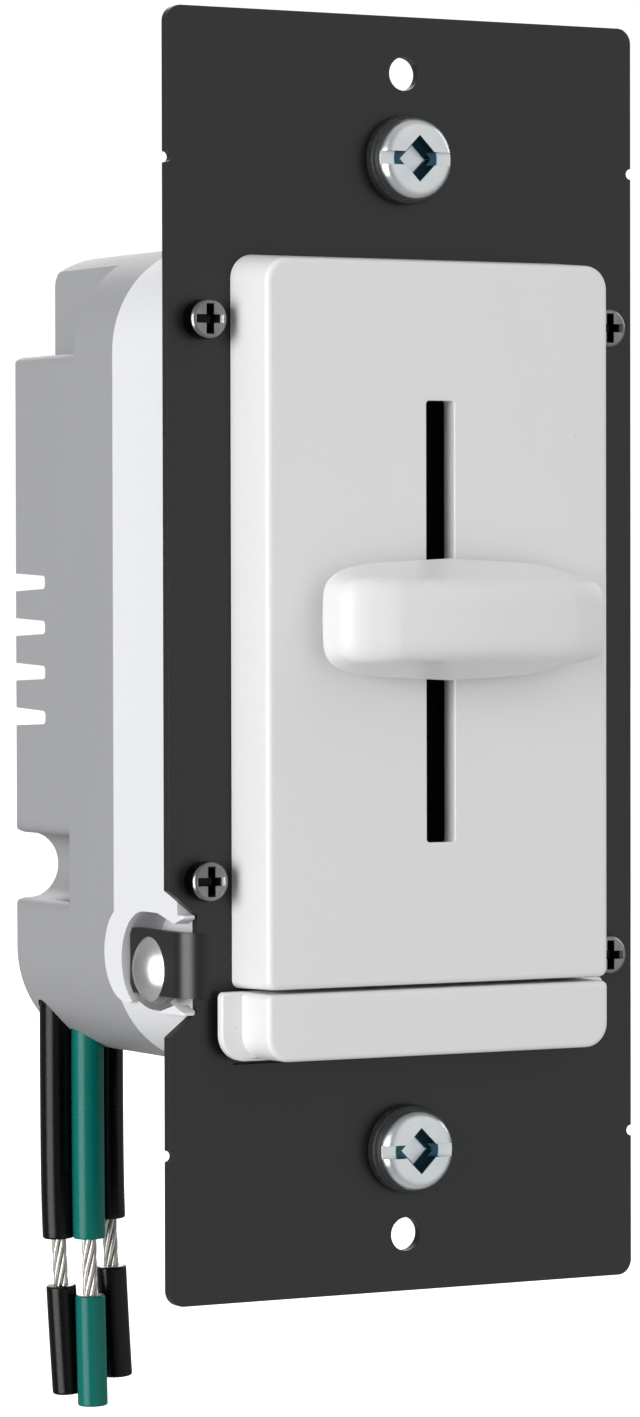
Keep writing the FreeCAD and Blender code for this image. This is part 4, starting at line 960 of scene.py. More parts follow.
@dataclass
class Studio:
    """The camera, the lights and the pale floor."""

    camera_place: Point = (-0.22796, -0.39881, 0.006354)
    camera_yaw: float = 28.9225
    camera_pitch: float = -1.3456
    camera_roll: float = -0.119
    lens: float = 139.60
    floor_drop: float = 0.030
    floor_reach: float = 4.0
    backdrop: float = 1.05
    haze: float = 0.30
    ceiling_and_table: float = 0.30
    fill: float = 0.52
    fill_direction: Point = (0.50, -0.86, 0.10)

    def build(self) -> None:
        """Makes everything that isn't part of the object."""
        self.camera()
        self.world()
        self.lights()
        self.floor()

    def camera(self) -> None:
        """A long lens looking along yaw, pitch and roll, in degrees."""
        yaw, pitch, roll = (math.radians(a) for a in (self.camera_yaw, self.camera_pitch, self.camera_roll))
        ahead = Vector((math.sin(yaw) * math.cos(pitch), math.cos(yaw) * math.cos(pitch), math.sin(pitch)))
        right = Vector((math.cos(yaw), -math.sin(yaw), 0.0))
        up = right.cross(ahead)
        rolled_right = right * math.cos(roll) + up * math.sin(roll)
        rolled_up = up * math.cos(roll) - right * math.sin(roll)
        camera = bpy.data.cameras.new("camera")
        camera.sensor_fit = "VERTICAL"
        camera.sensor_height = 36.0
        camera.lens = self.lens
        camera.clip_start = 0.01
        holder = bpy.data.objects.new("camera", camera)
        turn = Matrix((rolled_right, rolled_up, -ahead)).transposed()
        holder.matrix_world = Matrix.Translation(self.camera_place) @ turn.to_4x4()
        bpy.context.scene.collection.objects.link(holder)
        bpy.context.scene.camera = holder

    def world(self) -> None:
        """White where it is seen; where it lights, a dim haze, brighter towards some directions.

        The haze grows with the square of how far up or down a direction points, and a wide round
        patch to the front right is added to it.
        """
        scene = bpy.context.scene
        scene.view_settings.view_transform = "Standard"
        scene.world = bpy.data.worlds.new("studio")
        graph = Graph(scene.world)
        graph.tree.nodes.clear()
        direction = graph.node("ShaderNodeTexCoord", {}, {}, "Generated")
        height = graph.node("ShaderNodeSeparateXYZ", {}, {"Vector": direction}, "Z")
        facing = graph.node("ShaderNodeVectorMath", {"operation": "DOT_PRODUCT"},
                            {0: direction, 1: self.fill_direction}, "Value")
        glow = self.haze + height * height * self.ceiling_and_table + facing.between(0.45, 0.95) * self.fill
        lighting = graph.node("ShaderNodeBackground", {}, {"Color": (1.0, 1.0, 1.0), "Strength": glow})
        seen = graph.node("ShaderNodeBackground", {}, {"Color": (1.0, 1.0, 1.0), "Strength": self.backdrop})
        ray = graph.node("ShaderNodeLightPath", {}, {}, "Is Camera Ray")
        mixed = graph.node("ShaderNodeMixShader", {}, {0: ray, 1: lighting, 2: seen})
        graph.node("ShaderNodeOutputWorld", {}, {"Surface": mixed}, None)

    def softbox(self, name: str, place: Point, aim: Point, size: "tuple[float, float]", power: float) -> None:
        """One rectangular lamp.

        Args:
            name: Its name.
            place: Where it stands.
            aim: The point that it faces.
            size: Its width and height.
            power: Its power in watts.
        """
        lamp = bpy.data.lights.new(name, "AREA")
        lamp.shape = "RECTANGLE"
        lamp.size, lamp.size_y = size
        lamp.energy = power
        holder = bpy.data.objects.new(name, lamp)
        holder.location = place
        holder.rotation_euler = (Vector(aim) - Vector(place)).to_track_quat("-Z", "Y").to_euler()
        bpy.context.scene.collection.objects.link(holder)

    def lights(self) -> None:
        """A tall softbox at the left front, and two weak ones behind that edge the top and right."""
        middle = (0.0, 0.0, 0.0)
        self.softbox("left_softbox", (-0.98, -0.22, -0.08), middle, (0.8, 0.9), 15.8)
        self.softbox("back_softbox", (0.35, 0.95, 0.45), middle, (0.6, 0.6), 2.2)
        self.softbox("right_softbox", (0.9, 0.1, 0.35), middle, (0.5, 0.5), 1.6)

    def floor(self) -> None:
        """A pale floor below the object."""
        low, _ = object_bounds()
        height = low[2] - self.floor_drop
        reach = self.floor_reach
        mesh = bpy.data.meshes.new("floor")
        sides = [(-reach, -reach), (reach, -reach), (reach, reach), (-reach, reach)]
        mesh.from_pydata([(x, y, height) for x, y in sides], [], [(0, 1, 2, 3)])
        graph = Graph.surface("floor_paper")
        grain = graph.noise(graph.place(), 4 * MM, 3.0)
        mesh.materials.append(
            graph.finish(
                Base_Color=graph.blend(grain, (0.93, 0.93, 0.93), (0.91, 0.91, 0.91)), Roughness=0.9,
                Emission_Color=(1.0, 1.0, 1.0), Emission_Strength=0.75,
            )
        )
        floor = bpy.data.objects.new("floor", mesh)
        floor.visible_diffuse = False
        floor.visible_glossy = False
        bpy.context.scene.collection.objects.link(floor)
        floor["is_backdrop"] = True


# --- Leads -----------------------------------------------------------------------------


@dataclass
class Lead:
    """One stripped lead: its jacket, its twisted strands and the cut slug left on them."""

    name: str
    slot: str
    route: "list[Point]"
    jacket_end: float
    slug_top: float
    exit_height: float
    jacket_radius: float = 1.4 * MM
    slug_radius: float = 1.3 * MM
    strand_radius: float = 0.2 * MM
    strand_count: int = 6
    strand_pitch: float = 11 * MM
    strand_spread: float = 0.40 * MM
    strand_bulge: float = 0.05 * MM
    strand_steps: int = 48
    strand_sides: int = 10
    cut_edge: float = 0.18 * MM
    # How far the strands run on inside the jacket and the slug.
    strand_overlap: float = 2 * MM

    def build(self) -> None:
        path = smooth_line(self.name, self.route)
        line = Line(path)
        cut, top = (line.length_at_height(height) for height in (self.jacket_end, self.slug_top))
        end = line.run[-1]
        plastic = merged([self.jacket(line, 0.0, cut), self.jacket(line, top, end, self.slug_radius)])
        copper = merged(self.strands(line, cut - self.strand_overlap, top + self.strand_overlap))
        piece = new_piece(f"{self.name}_wire", merged([plastic, copper]), Body.ROOT, self.slot, *self.nodes())
        piece.data.materials.append(WARDROBE.get("tinned"))
        self.colour_strands(piece, line, cut, top)
        exit_point = line.at(np.array([line.length_at_height(self.exit_height)]))[0][0]

    def nodes(self) -> "list[str]":
        """The CAD nodes of this lead."""
        return [f"{self.name}_{part}" for part in ("jacket", "strands", "slug")]

    def jacket(self, line: Line, start: float, end: float, radius: "float | None" = None) -> Shell:
        """A length of jacket whose cut ends are slightly rounded.

        The radius is full except at both ends, where it follows a small quarter circle.

        Args:
            line: The lead's line.
            start: Where it begins along the line.
            end: Where it ends.
            radius: Its radius, if it isn't the jacket's own.

        Returns:
            The surface.
        """
        full = self.jacket_radius if radius is None else radius
        edge = self.cut_edge
        angles = np.linspace(0, math.pi / 2, 5)
        ends = edge * (1 - np.cos(angles))
        middle = np.linspace(start + edge, end - edge, 60)[1:-1]
        runs = np.concatenate([start + ends, middle, (end - ends)[::-1]])
        inset = edge * (1 - np.sin(angles))
        radii = np.concatenate([full - inset, np.full(len(middle), full), (full - inset)[::-1]])
        return line.tube(runs, radii, 40)

    def strands(self, line: Line, start: float, end: float) -> "list[Shell]":
        """Strands that swirl round the line and spread a little between jacket and slug.

        Args:
            line: The lead's line.
            start: Where they begin, inside the jacket.
            end: Where they end, inside the slug.

        Returns:
            One tube for each strand, and one along the middle.
        """
        runs = np.linspace(start, end, self.strand_steps)
        radii = np.full(len(runs), self.strand_radius)
        offset = self.strand_spread + np.sin(np.linspace(0, math.pi, len(runs))) * self.strand_bulge
        shells = [line.tube(runs, radii, self.strand_sides)]
        for k in range(self.strand_count):
            swirl = (offset, TURN * k / self.strand_count, self.strand_pitch)
            shells.append(line.tube(runs, radii, self.strand_sides, swirl))
        return shells

    def colour_strands(self, piece: bpy.types.Object, line: Line, cut: float, top: float) -> None:
        """Gives the strands' faces the tinned copper: they lie well inside the jacket's radius.

        Args:
            piece: The lead.
            line: Its line.
            cut: Where the jacket ends.
            top: Where the slug begins.
        """
        mesh = piece.data
        centres = np.zeros(len(mesh.polygons) * 3)
        mesh.polygons.foreach_get("center", centres)
        centres = centres.reshape(-1, 3)
        nearest = np.argmin(np.linalg.norm(centres[:, None] - line.points[None], axis=2), axis=1)
        heights = line.points[nearest, 2]
        off = np.linalg.norm((centres - line.points[nearest])[:, :2], axis=1)
        low, high = line.at(np.array([top]))[0][0][2], line.at(np.array([cut]))[0][0][2]
        bare = (heights < high + 2.2 * MM) & (heights > low - 2.2 * MM) & (off < 0.75 * MM)
        mesh.polygons.foreach_set("material_index", bare.astype(np.int32))


def leads() -> "list[Lead]":
    """The three leads, each with its route from the block inside the shell to its end."""
    line = [
        (-0.0183, 0.02805, -0.0285),
        (-0.0183, 0.0281, -0.0405),
        (-0.0180, 0.0283, -0.0520),
        (-0.0170, 0.0286, -0.06425),
    ]
    ground = [
        (-0.0162, 0.0261, -0.0285),
        (-0.0162, 0.0261, -0.0410),
        (-0.0161, 0.0261, -0.0530),
        (-0.01585, 0.0260, -0.0651),
    ]
    load = [
        (-0.0133, 0.0281, -0.0285),
        (-0.01335, 0.0281, -0.0395),
        (-0.01315, 0.02815, -0.0510),
        (-0.0123, 0.0283, -0.06305),
    ]
    return [
        Lead("line_lead", "black_jacket", line, -0.05065, -0.0548, -0.0319),
        Lead("ground_lead", "green_jacket", ground, -0.0506, -0.0555, -0.0334),
        Lead("load_lead", "black_jacket", load, -0.0492, -0.0534, -0.0343),
    ]


# --- Plate and its fasteners -----------------------------------------------------------


@dataclass
class StrapPlate:
    """The painted strap, its screws, washers and ground rivet."""

    edge: float = 0.10 * MM
    washer_radius: float = 3.7 * MM
    washer_bore: float = 1.42 * MM
    screw_play: float = 0.45 * MM
    rivet_dome: float = 1.1 * MM
    rivet_radius: float = 2.7 * MM
    rivet_shank_radius: float = 1.45 * MM
    rivet_tail_radius: float = 2.2 * MM
    screw_spacing: float = 41.67 * MM
    shank_radius: float = 1.75 * MM
    shank_start: float = 0.3 * MM
    shank_end: float = 16.0 * MM
    core_radius: float = 1.4 * MM
    thread_pitch: float = 0.794 * MM

    def build(self) -> None:
        """Makes the plate and everything fastened through it."""
        refined("mounting_plate", "plate_paint", Body.ROOT, self.edge, 2)
        screws = refined("mounting_screws", "zinc", Body.ROOT, 0.10 * MM, 3)
        self.drawn_in(screws)
        self.threads()
        refined("housing_screws", "black_screw", Body.ROOT, 0.06 * MM, 2)
        self.washers()
        self.rivet()

    def drawn_in(self, screws: bpy.types.Object) -> None:
        """Moves both captive screws towards the middle by the play in their holes.

        Their shanks are thinned and shortened a little, so that they lie inside the threads.

        Args:
            screws: The piece with both screws.
        """
        points = np.zeros(len(screws.data.vertices) * 3)
        screws.data.vertices.foreach_get("co", points)
        points = points.reshape(-1, 3)
        middle = np.sign(points[:, 2]) * self.screw_spacing
        thinning = 0.93 * self.core_radius / self.shank_radius
        shank = points[:, 1] > self.shank_start - 0.05 * MM
        points[shank, 0] *= thinning
        points[shank, 2] = middle[shank] + (points[shank, 2] - middle[shank]) * thinning
        points[shank, 1] -= 0.1 * MM
        points[:, 2] -= np.sign(middle) * self.screw_play
        screws.data.vertices.foreach_set("co", points.ravel())

    def threads(self) -> None:
        """The threads of both screws, each a ridge that climbs one pitch in a turn.

        The radius is the core's, plus the ridge's height times a triangle wave of the depth in
        pitches less the share of a turn. The ridge fades in and out over a pitch at the ends.
        """
        start, end, pitch = self.shank_start + 0.1 * MM, self.shank_end, self.thread_pitch
        turn = np.linspace(0, TURN, 32, endpoint=False)[None, :]
        depth = np.linspace(start, end, 1 + 8 * round((end - start) / pitch))[:, None]
        ridge = 1 - np.abs(2 * ((depth / pitch - turn / TURN) % 1) - 1)
        fade = np.clip((depth - start) / pitch, 0, 1) * np.clip((end - depth) / pitch, 0, 1)
        radius = self.core_radius + (self.shank_radius - self.core_radius) * ridge * fade
        rings = np.broadcast_arrays(radius * np.cos(turn), depth, radius * np.sin(turn))
        thread = lofted(np.stack(rings, -1))
        z = self.screw_spacing - self.screw_play
        pair = merged([thread.shifted((0, 0, z)), thread.shifted((0, 0, -z))])
        new_piece("mounting_screw_threads", pair, Body.ROOT, "zinc")

    def washers(self) -> None:
        """Two thin rings: a rounded rectangle turned about Y."""
        low, high = corners("screw_retaining_washers")
        z = high[2] - self.washer_radius - self.screw_play
        thick, edge = high[1] - low[1], 0.2 * MM
        angles = np.linspace(0, math.pi / 2, 5)
        outer = [(edge * (1 - math.cos(a)), self.washer_radius - edge * (1 - math.sin(a))) for a in angles]
        back = [(thick - depth, radius) for depth, radius in reversed(outer)]
        profile = [(0, self.washer_bore), *outer, *back, (thick, self.washer_bore)]
        rings = turned(np.array(profile), (0, low[1], 0), Axis.Y)
        points = rings.points[:-2]
        ring = Shell(points, grid_faces(len(profile), len(points) // len(profile), True))
        pair = merged([ring.shifted((0, 0, z)), ring.shifted((0, 0, -z))])
        new_piece("captive_washers", pair, Body.ROOT, "black_fibre", "screw_retaining_washers")

    def rivet(self) -> None:
        """The ground rivet: a dome that is a cap of a sphere, a rim, a shank and a flat tail."""
        low, high = corners("ground_rivet")
        middle = (low + high) / 2
        dome, radius = self.rivet_dome, self.rivet_radius
        sphere = (radius**2 + dome**2) / (2 * dome)
        share = np.linspace(0, 1, 12)[1:]
        cap_radius = radius * share
        cap_depth = sphere - np.sqrt(sphere**2 - cap_radius**2)
        shank_end, tail = high[0] - low[0] - 0.6 * MM, high[0] - low[0]
        shank, flat = self.rivet_shank_radius, self.rivet_tail_radius
        profile = [
            *zip(cap_depth, cap_radius),
            (dome + 0.02 * MM, radius - 0.02 * MM),
            (dome + 0.03 * MM, shank),
            (shank_end, shank),
            (shank_end, flat - 0.1 * MM),
            (shank_end + 0.1 * MM, flat),
            (tail, flat - 0.2 * MM),
        ]
        shell = turned(np.array(profile), (low[0], middle[1], middle[2]), Axis.X)
        shell.points[-2] = (low[0], middle[1], middle[2])
        new_piece("ground_rivet_domed", shell, Body.ROOT, "nickel", "ground_rivet")


# --- Panel, pad and knob ---------------------------------------------------------------


@dataclass
class FacePanel:
    """The drafted white shell round the slot, with its snap legs."""

    wall: float = 1.8 * MM
    top_corner: float = 2.0 * MM
    bottom_corner: float = 0.7 * MM
    edge: float = 0.5 * MM
    draft_side: float = 0.20 * MM
    draft_top: float = 0.45 * MM
    draft_bottom: float = 0.15 * MM
    slot_half: float = 1.33 * MM
    slot_low: float = -15.35 * MM
    slot_high: float = 21.05 * MM
    slot_edge: float = 0.12 * MM
    slot_undercut: float = 0.5 * MM
    lip_wall: float = 0.8 * MM
    lip_depth: float = 2.6 * MM
    front: float = -6.9 * MM
    plate_front: float = -0.9 * MM
    leg_half: float = 1.4 * MM
    leg_half_thick: float = 0.6 * MM
    leg_end: float = 1.6 * MM
    leg_edge: float = 0.15 * MM
    hook_front: float = 0.03 * MM
    hook_reach: float = 1.2 * MM

    def outline(self, share: float, inset: float) -> np.ndarray:
        """The outline at a share of the draft, from 0 at the plate to 1 at the face, drawn in.

        Args:
            share: How far up the drafted side.
            inset: How far the outline is drawn in.

        Returns:
            The outline's x and z.
        """
        low, high = corners("face_panel")
        side = high[0] - self.draft_side * share - inset
        bottom = low[2] + self.draft_bottom * share + inset
        top = high[2] - self.draft_top * share - inset
        radii = [self.top_corner, self.top_corner, self.bottom_corner, self.bottom_corner]
        return rounded_outline((-side, side, bottom, top), [max(r - inset, 0.15 * MM) for r in radii])

    def slot_outline(self, grow: float) -> np.ndarray:
        """The slot's outline, grown by a little."""
        box = (-self.slot_half - grow, self.slot_half + grow, self.slot_low - grow, self.slot_high + grow)
        return rounded_outline(box, 0.3 * MM + grow)

    def build(self) -> None:
        """Makes the shell as one closed wall: outside, edge, face, slot, inside and back.

        The front edge is a quarter circle: the inset is the radius times one minus the cosine,
        and the depth is the radius times one minus the sine.
        """
        rings = [at_depth(self.outline(0, self.wall), self.plate_front)]
        rings.append(at_depth(self.outline(0, 0.08 * MM), self.plate_front))
        rings.append(at_depth(self.outline(0, 0), self.plate_front - 0.08 * MM))
        start = self.front + self.edge
        for share in (0.5, 1.0):
            depth = self.plate_front + (start - self.plate_front) * share
            rings.append(at_depth(self.outline(share, 0), depth))
        for angle in np.linspace(0, math.pi / 2, 9)[1:]:
            inset, rise = self.edge * (1 - math.cos(angle)), self.edge * (1 - math.sin(angle))
            rings.append(at_depth(self.outline(1, inset), self.front + rise))
        rings.append(at_depth(self.outline(1, self.edge + 0.3 * MM), self.front))
        rings.append(at_depth(self.slot_outline(self.slot_edge + 0.3 * MM), self.front))
        for angle in np.linspace(0, math.pi / 2, 5):
            grow, rise = self.slot_edge * (1 - math.sin(angle)), self.slot_edge * (1 - math.cos(angle))
            rings.append(at_depth(self.slot_outline(grow), self.front + rise))
        inside = self.front + self.wall
        lip_end = self.front + self.lip_depth
        for share in (0.35, 0.65, 1.0):
            grow = self.slot_undercut * share**2
            rings.append(at_depth(self.slot_outline(grow), self.front + self.lip_depth * share))
        rings.append(at_depth(self.slot_outline(self.lip_wall), lip_end))
        rings.append(at_depth(self.slot_outline(self.lip_wall), inside))
        rings.append(at_depth(self.outline(1, self.wall), inside))
        wall = lofted(np.array(rings), wrap=True)
        new_piece("face_panel_shell", merged([wall, *self.legs()]), Body.ROOT, "white_gloss", "face_panel")

    def legs(self) -> "list[Shell]":
        """Four snap legs with hooks that face up or down."""
        legs, inside = [], self.front + self.wall - 0.1 * MM
        for x, z in ((-13.0, 29.0), (13.0, 29.0), (-13.0, -22.5), (13.0, -22.5)):
            hook = self.hook_reach if z > 0 else -self.hook_reach
            x, z, thick = x * MM, z * MM, self.leg_half_thick
            left, right = x - self.leg_half, x + self.leg_half
            ends = (left, inside, z - thick), (right, self.leg_end, z + thick)
            legs.append(rounded_block(*ends, self.leg_edge))
            low, high = sorted((z, z + hook))
            ends = (left, self.hook_front, low), (right, self.leg_end, high)
            legs.append(rounded_block(*ends, self.leg_edge))
        return legs


@dataclass
class PushPad:
    """The on/off pad: a flange, a raised bar, guide legs, spring posts and a pusher."""

    flange_front: float = -2.7 * MM
    flange_back: float = -1.8 * MM
    guide_x: float = 13.6 * MM
    post_x: float = 9.0 * MM
    inner_edge: float = 0.12 * MM
    flange_corner: float = 2.2 * MM
    top_corner: float = 0.5 * MM
    face_half: float = 16.25 * MM
    base_half: float = 16.45 * MM
    bar_low: float = -32.95 * MM
    wall: float = 1.5 * MM
    edge: float = 0.45 * MM
    bar_corner: float = 2.0 * MM
    rim: float = 0.22 * MM

    def flange(self, inset: float, depth: float) -> np.ndarray:
        """The flange's outline drawn in at its sides and below, at a depth."""
        low, high = corners("push_pad")
        box = (low[0] + inset, high[0] - inset, low[2] + inset, high[2])
        radii = [self.top_corner, self.top_corner, self.flange_corner, self.flange_corner]
        return at_depth(rounded_outline(box, [max(r - inset, 0.05 * MM) for r in radii]), depth)

    def bar(self, half: float, inset: float, depth: float) -> np.ndarray:
        """The raised bar's outline drawn in, at a depth."""
        _, high = corners("push_pad")
        top = high[2] - 0.02 * MM - max(inset, 0)
        box = (-half + inset, half - inset, self.bar_low + inset, top)
        radii = [self.top_corner, self.top_corner, self.bar_corner, self.bar_corner]
        return at_depth(rounded_outline(box, [max(r - inset, 0.05 * MM) for r in radii]), depth)

    def build(self) -> None:
        """Makes the pad as one closed wall from its hollow, round the flange, to its face."""
        low, _ = corners("push_pad")
        front, inside = low[1], low[1] + self.wall
        rings = [self.bar(self.face_half, self.wall, depth) for depth in (inside, self.flange_back)]
        rim = self.rim
        rings.append(self.flange(rim, self.flange_back))
        angles = np.linspace(0, math.pi / 2, 5)
        for a in angles:
            rings.append(self.flange(rim * (1 - math.sin(a)), self.flange_back - rim * (1 - math.cos(a))))
        for a in angles:
            rings.append(self.flange(rim * (1 - math.cos(a)), self.flange_front + rim * (1 - math.sin(a))))
        rings.append(self.bar(self.base_half, 0, self.flange_front))
        middle = (self.flange_front + front + self.edge) / 2
        rings.append(self.bar((self.base_half + self.face_half) / 2, 0, middle))
        for a in np.linspace(0, math.pi / 2, 9):
            inset, rise = self.edge * (1 - math.cos(a)), self.edge * (1 - math.sin(a))
            rings.append(self.bar(self.face_half, inset, front + rise))
        rings.append(self.bar(self.face_half, self.edge + 0.3 * MM, front))
        shell = merged([lofted(np.array(rings)), *self.inner_parts(inside)])
        new_piece("push_pad_moulding", shell, Body.PAD, "white_gloss", "push_pad")

    def inner_parts(self, inside: float) -> "list[Shell]":
        """The guide legs with their hooks, the spring posts and the pusher.

        Args:
            inside: The depth of the hollow's face.

        Returns:
            Their surfaces.
        """
        top = inside - 0.1 * MM
        parts = []
        for side in (-1, 1):
            x = side * self.guide_x
            parts.append(self.block(x, 0.7, (top, 1.3 * MM), (-30.9, -29.6)))
            parts.append(self.block(x, 0.7, (0.05 * MM, 1.3 * MM), (-31.3, -30.6)))
            post = np.array([(0, 0.7), (2.5, 0.7), (2.8, 0.5)]) * MM
            parts.append(turned(post, (side * self.post_x, top, -30.0 * MM), Axis.Y, 24))
        parts.append(self.block(0, 2.0, (top, 0.55 * MM), (-30.0, -28.8)))
        parts.append(self.block(0, 2.0, (-1.1 * MM, 0.55 * MM), (-30.0, -27.4)))
        return parts

    def block(self, x: float, half: float, depths: "tuple", heights: "tuple") -> Shell:
        """A block with small rounded edges.

        Args:
            x: The middle of its width.
            half: Half its width, in millimetres.
            depths: Its front and back.
            heights: Its bottom and top, in millimetres.

        Returns:
            The surface.
        """
        low = (x - half * MM, depths[0], heights[0] * MM)
        high = (x + half * MM, depths[1], heights[1] * MM)
        return rounded_block(low, high, self.inner_edge)


@dataclass
class SlideKnob:
    """The saddle-shaped grip and its stem."""

    back: float = -8.3 * MM
    crown: float = 1.1 * MM
    end_bow: float = 0.5 * MM
    corner_bow: float = 1.15 * MM
    back_height: "tuple[float, float]" = (5.25 * MM, 4.0 * MM)
    front_height: "tuple[float, float]" = (3.3 * MM, 3.9 * MM)
    sag: "tuple[float, float]" = (0.55 * MM, 0.15 * MM)
    front_power: float = 4.0
    back_power: float = 18.0
    end_power: float = 16.0
    front_end_power: float = 3.5
    height_end_power: float = 10.0
    stem_half: "tuple[float, float]" = (1.05 * MM, 3.1 * MM)
    stem_back: float = -3.4 * MM

    def grip(self) -> Shell:
        """The grip as one grid: round its section, and along its length.

        A section is a superellipse in depth and height: cosine and sine raised to two over its
        power. Along the length the section shrinks to a point at each end by further
        superellipses, softly in front and tightly at the back, which rounds the ends. The half
        height goes from its back value to its front value across the depth, less a sag in
        between, and both values and the sag change with the square of the distance from the
        middle. The front is crowned and the ends bow by the same square.

        Returns:
            The surface.
        """
        low, high = corners("slide_knob")
        half, front, middle_z = high[0], low[1], (low[2] + high[2]) / 2
        around = np.linspace(0, TURN, 112, endpoint=False)[None, :]
        along = np.linspace(-math.pi / 2, math.pi / 2, 97)[1:-1, None]

        def power(value: np.ndarray, exponent: float) -> np.ndarray:
            """A signed power."""
            return np.sign(value) * np.abs(value) ** (2 / np.asarray(exponent))

        def shrunk(exponent: float) -> np.ndarray:
            """What is left of a section along the length, by a superellipse of one power."""
            return (1 - np.abs(stretch) ** exponent) ** (1 / exponent)

        stretch = power(np.sin(along), self.end_power)
        in_front = np.cos(around) > 0
        section_power = np.where(in_front, self.front_power, self.back_power)
        depth_left = np.where(in_front, shrunk(self.front_end_power), shrunk(self.end_power))
        depth = power(np.cos(around), section_power) * depth_left
        height = power(np.sin(around), section_power) * shrunk(self.height_end_power)
        x = stretch * (half - self.end_bow * depth**2 * 0.8 - self.corner_bow * height**4)
        share = (x / half) ** 2
        spans = (self.back_height, self.front_height, self.sag)
        back_height, front_height, sag = (a + (b - a) * share for a, b in spans)
        forward = (depth + 1) / 2
        half_height = back_height + (front_height - back_height) * forward - sag * (1 - depth**2)
        y = self.back + (front + self.crown * share - self.back) * forward
        z = middle_z + height * half_height
        return lofted(np.stack(np.broadcast_arrays(x, y, z), -1))

    def build(self) -> None:
        """Makes the grip and its stem."""
        low, high = corners("slide_knob")
        middle_z = (low[2] + high[2]) / 2
        x, z = self.stem_half
        start, stop = (-x, self.back - 0.4 * MM, middle_z - z), (x, self.stem_back, middle_z + z)
        shell = merged([self.grip(), rounded_block(start, stop, 0.2 * MM)])
        new_piece("slide_knob_grip", shell, Body.SLIDER, "white_gloss", "slide_knob", angle=60)


# --- Housing ---------------------------------------------------------------------------


@dataclass
class Housing:
    """The white front frame and the grey rear shell."""

    frame_edge: float = 0.22 * MM
    shell_edge: float = 0.28 * MM

    def build(self) -> None:
        """Rounds the mouldings' edges."""
        refined("front_frame", "white_matt", Body.ROOT, self.frame_edge)
        refined("rear_housing", "grey_shell", Body.ROOT, self.shell_edge)


# --- Inside ----------------------------------------------------------------------------


@dataclass
class Coil:
    """A round-wire compression spring along Y, in the place of its CAD sleeve."""

    node: str
    centre: "tuple[float, float]"
    mean_radius: float
    wire_radius: float = 0.17 * MM
    turns: float = 5

    def shell(self) -> Shell:
        """The wire: a tube along a helix, whose ends close up by the pitch easing to zero.

        Returns:
            The surface.
        """
        low, high = corners(self.node)
        share = np.linspace(0, 1, int(36 * self.turns))
        angle = TURN * self.turns * share
        eased = share - 0.10 * np.sin(TURN * share) / 1.6
        start, stop = low[1] + self.wire_radius, high[1] - self.wire_radius
        x = self.centre[0] + self.mean_radius * np.cos(angle)
        z = self.centre[1] + self.mean_radius * np.sin(angle)
        line = np.stack([x, start + (stop - start) * eased, z], -1)
        return helix_tube(line, self.wire_radius)


def helix_tube(line: np.ndarray, radius: float, steps: int = 10) -> Shell:
    """A tube of constant radius along a line.

    Each circle lies in the plane of the line's normal, from its change of direction, and the
    binormal.

    Args:
        line: The line's points.
        radius: The tube's radius.
        steps: The points round it.

    Returns:
        The surface.
    """
    tangent = np.gradient(line, axis=0)
    tangent /= np.linalg.norm(tangent, axis=1)[:, None]
    bend = np.gradient(tangent, axis=0)
    bend -= (bend * tangent).sum(1)[:, None] * tangent
    bend /= np.linalg.norm(bend, axis=1)[:, None]
    binormal = np.cross(tangent, bend)
    around = np.linspace(0, TURN, steps, endpoint=False)
    return lofted(line[:, None] + radius * circles(around, bend, binormal))


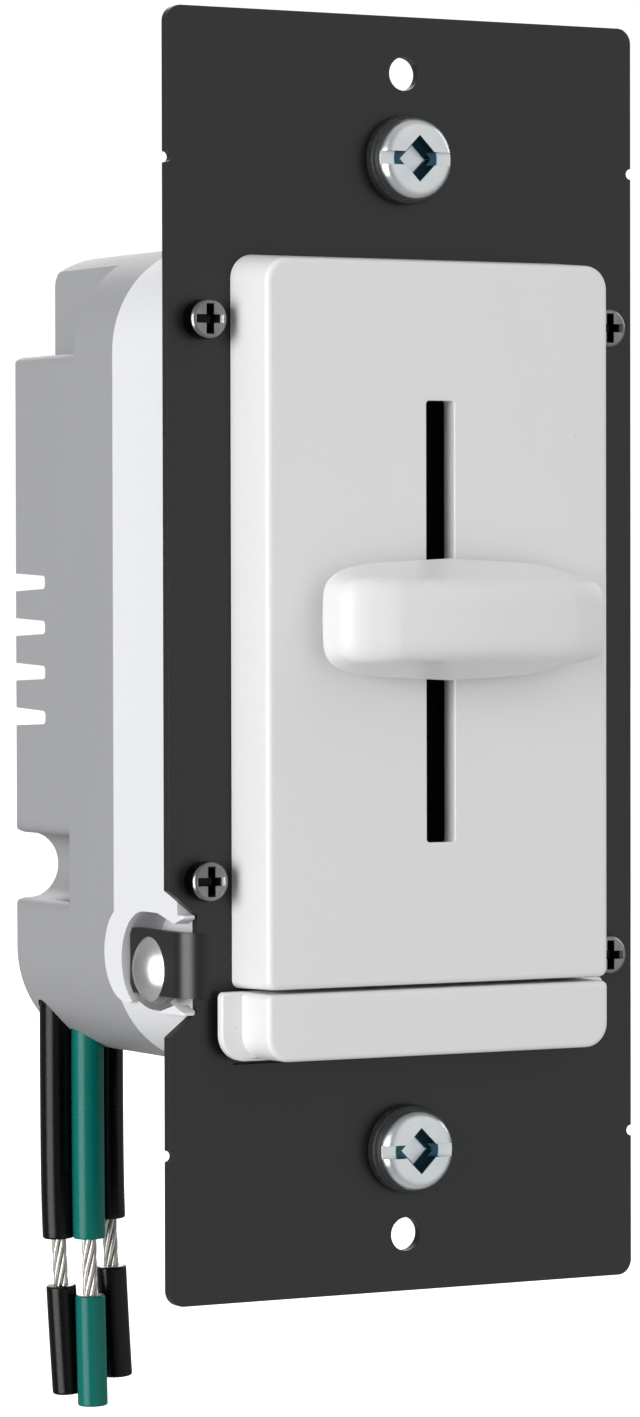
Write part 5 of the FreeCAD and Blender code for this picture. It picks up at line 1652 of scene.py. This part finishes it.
@dataclass
class Interior:
    """What the housing holds: potentiometer, switch, board and components."""

    choke_turns: int = 38
    choke_wire: float = 0.42 * MM
    choke_hole: float = 4.0 * MM
    # The power of the superellipse: 1 is a circle, and less is squarer.
    choke_power: float = 0.45

    def build(self) -> None:
        """Makes the springs and the winding, and dresses the rest."""
        self.springs()
        self.choke()
        slots = {row["node"]: row["material_slot"] for row in frame["record"]["subparts"]}
        for node, slot in slots.items():
            if not frame["nodes"][node].hide_render:
                dress(node, slot)

    def springs(self) -> None:
        """The pad's two return springs and the plunger's spring."""
        pad_node, switch_node = "pad_return_springs", "switch_plunger_spring"
        pair = [Coil(pad_node, (x * MM, -30.0 * MM), 1.02 * MM).shell() for x in (-9.0, 9.0)]
        springs = new_piece("pad_return_coils", merged(pair), Body.ROOT, "spring_steel", pad_node)
        _, high = corners(pad_node)
        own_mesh(springs)
        low, high = corners(switch_node)
        middle = (low + high) / 2
        coil = Coil(switch_node, (0.0, float(middle[2])), 1.3 * MM)
        spring = new_piece("plunger_coil", coil.shell(), Body.ROOT, "spring_steel", switch_node)
        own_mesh(spring)

    def choke(self) -> None:
        """The winding: a closed wire that goes round the ring's rectangular section as it circles.

        The section is a superellipse, and the wire goes round it once for each turn while the
        angle about the ring's axis goes round once in all.
        """
        low, high = corners("choke_winding")
        middle = (low + high) / 2
        outer = high[0] - middle[0] - self.choke_wire
        inner = self.choke_hole + self.choke_wire
        half_depth = (high[1] - low[1]) / 2 - self.choke_wire
        share = np.linspace(0, 1, self.choke_turns * 28, endpoint=False)
        winding, circling = TURN * self.choke_turns * share, TURN * share
        across = np.sign(np.cos(winding)) * np.abs(np.cos(winding)) ** self.choke_power
        deep = np.sign(np.sin(winding)) * np.abs(np.sin(winding)) ** self.choke_power
        radius = (outer + inner) / 2 + (outer - inner) / 2 * across
        x, z = middle[0] + radius * np.cos(circling), middle[2] + radius * np.sin(circling)
        shell = helix_tube(np.stack([x, middle[1] + half_depth * deep, z], -1), self.choke_wire, 8)
        new_piece("choke_turns", shell, Body.ROOT, "enamelled_wire", "choke_winding")


# --- Assembly --------------------------------------------------------------------------


def main() -> None:
    """Builds the studio, the leads and every sub-assembly."""
    logging.basicConfig(level=logging.INFO, format="%(message)s")
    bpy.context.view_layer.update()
    Studio().build()
    for lead in leads():
        lead.build()
    for part in (StrapPlate(), FacePanel(), PushPad(), SlideKnob(), Housing(), Interior()):
        part.build()


if __name__ == "__main__":
    main()
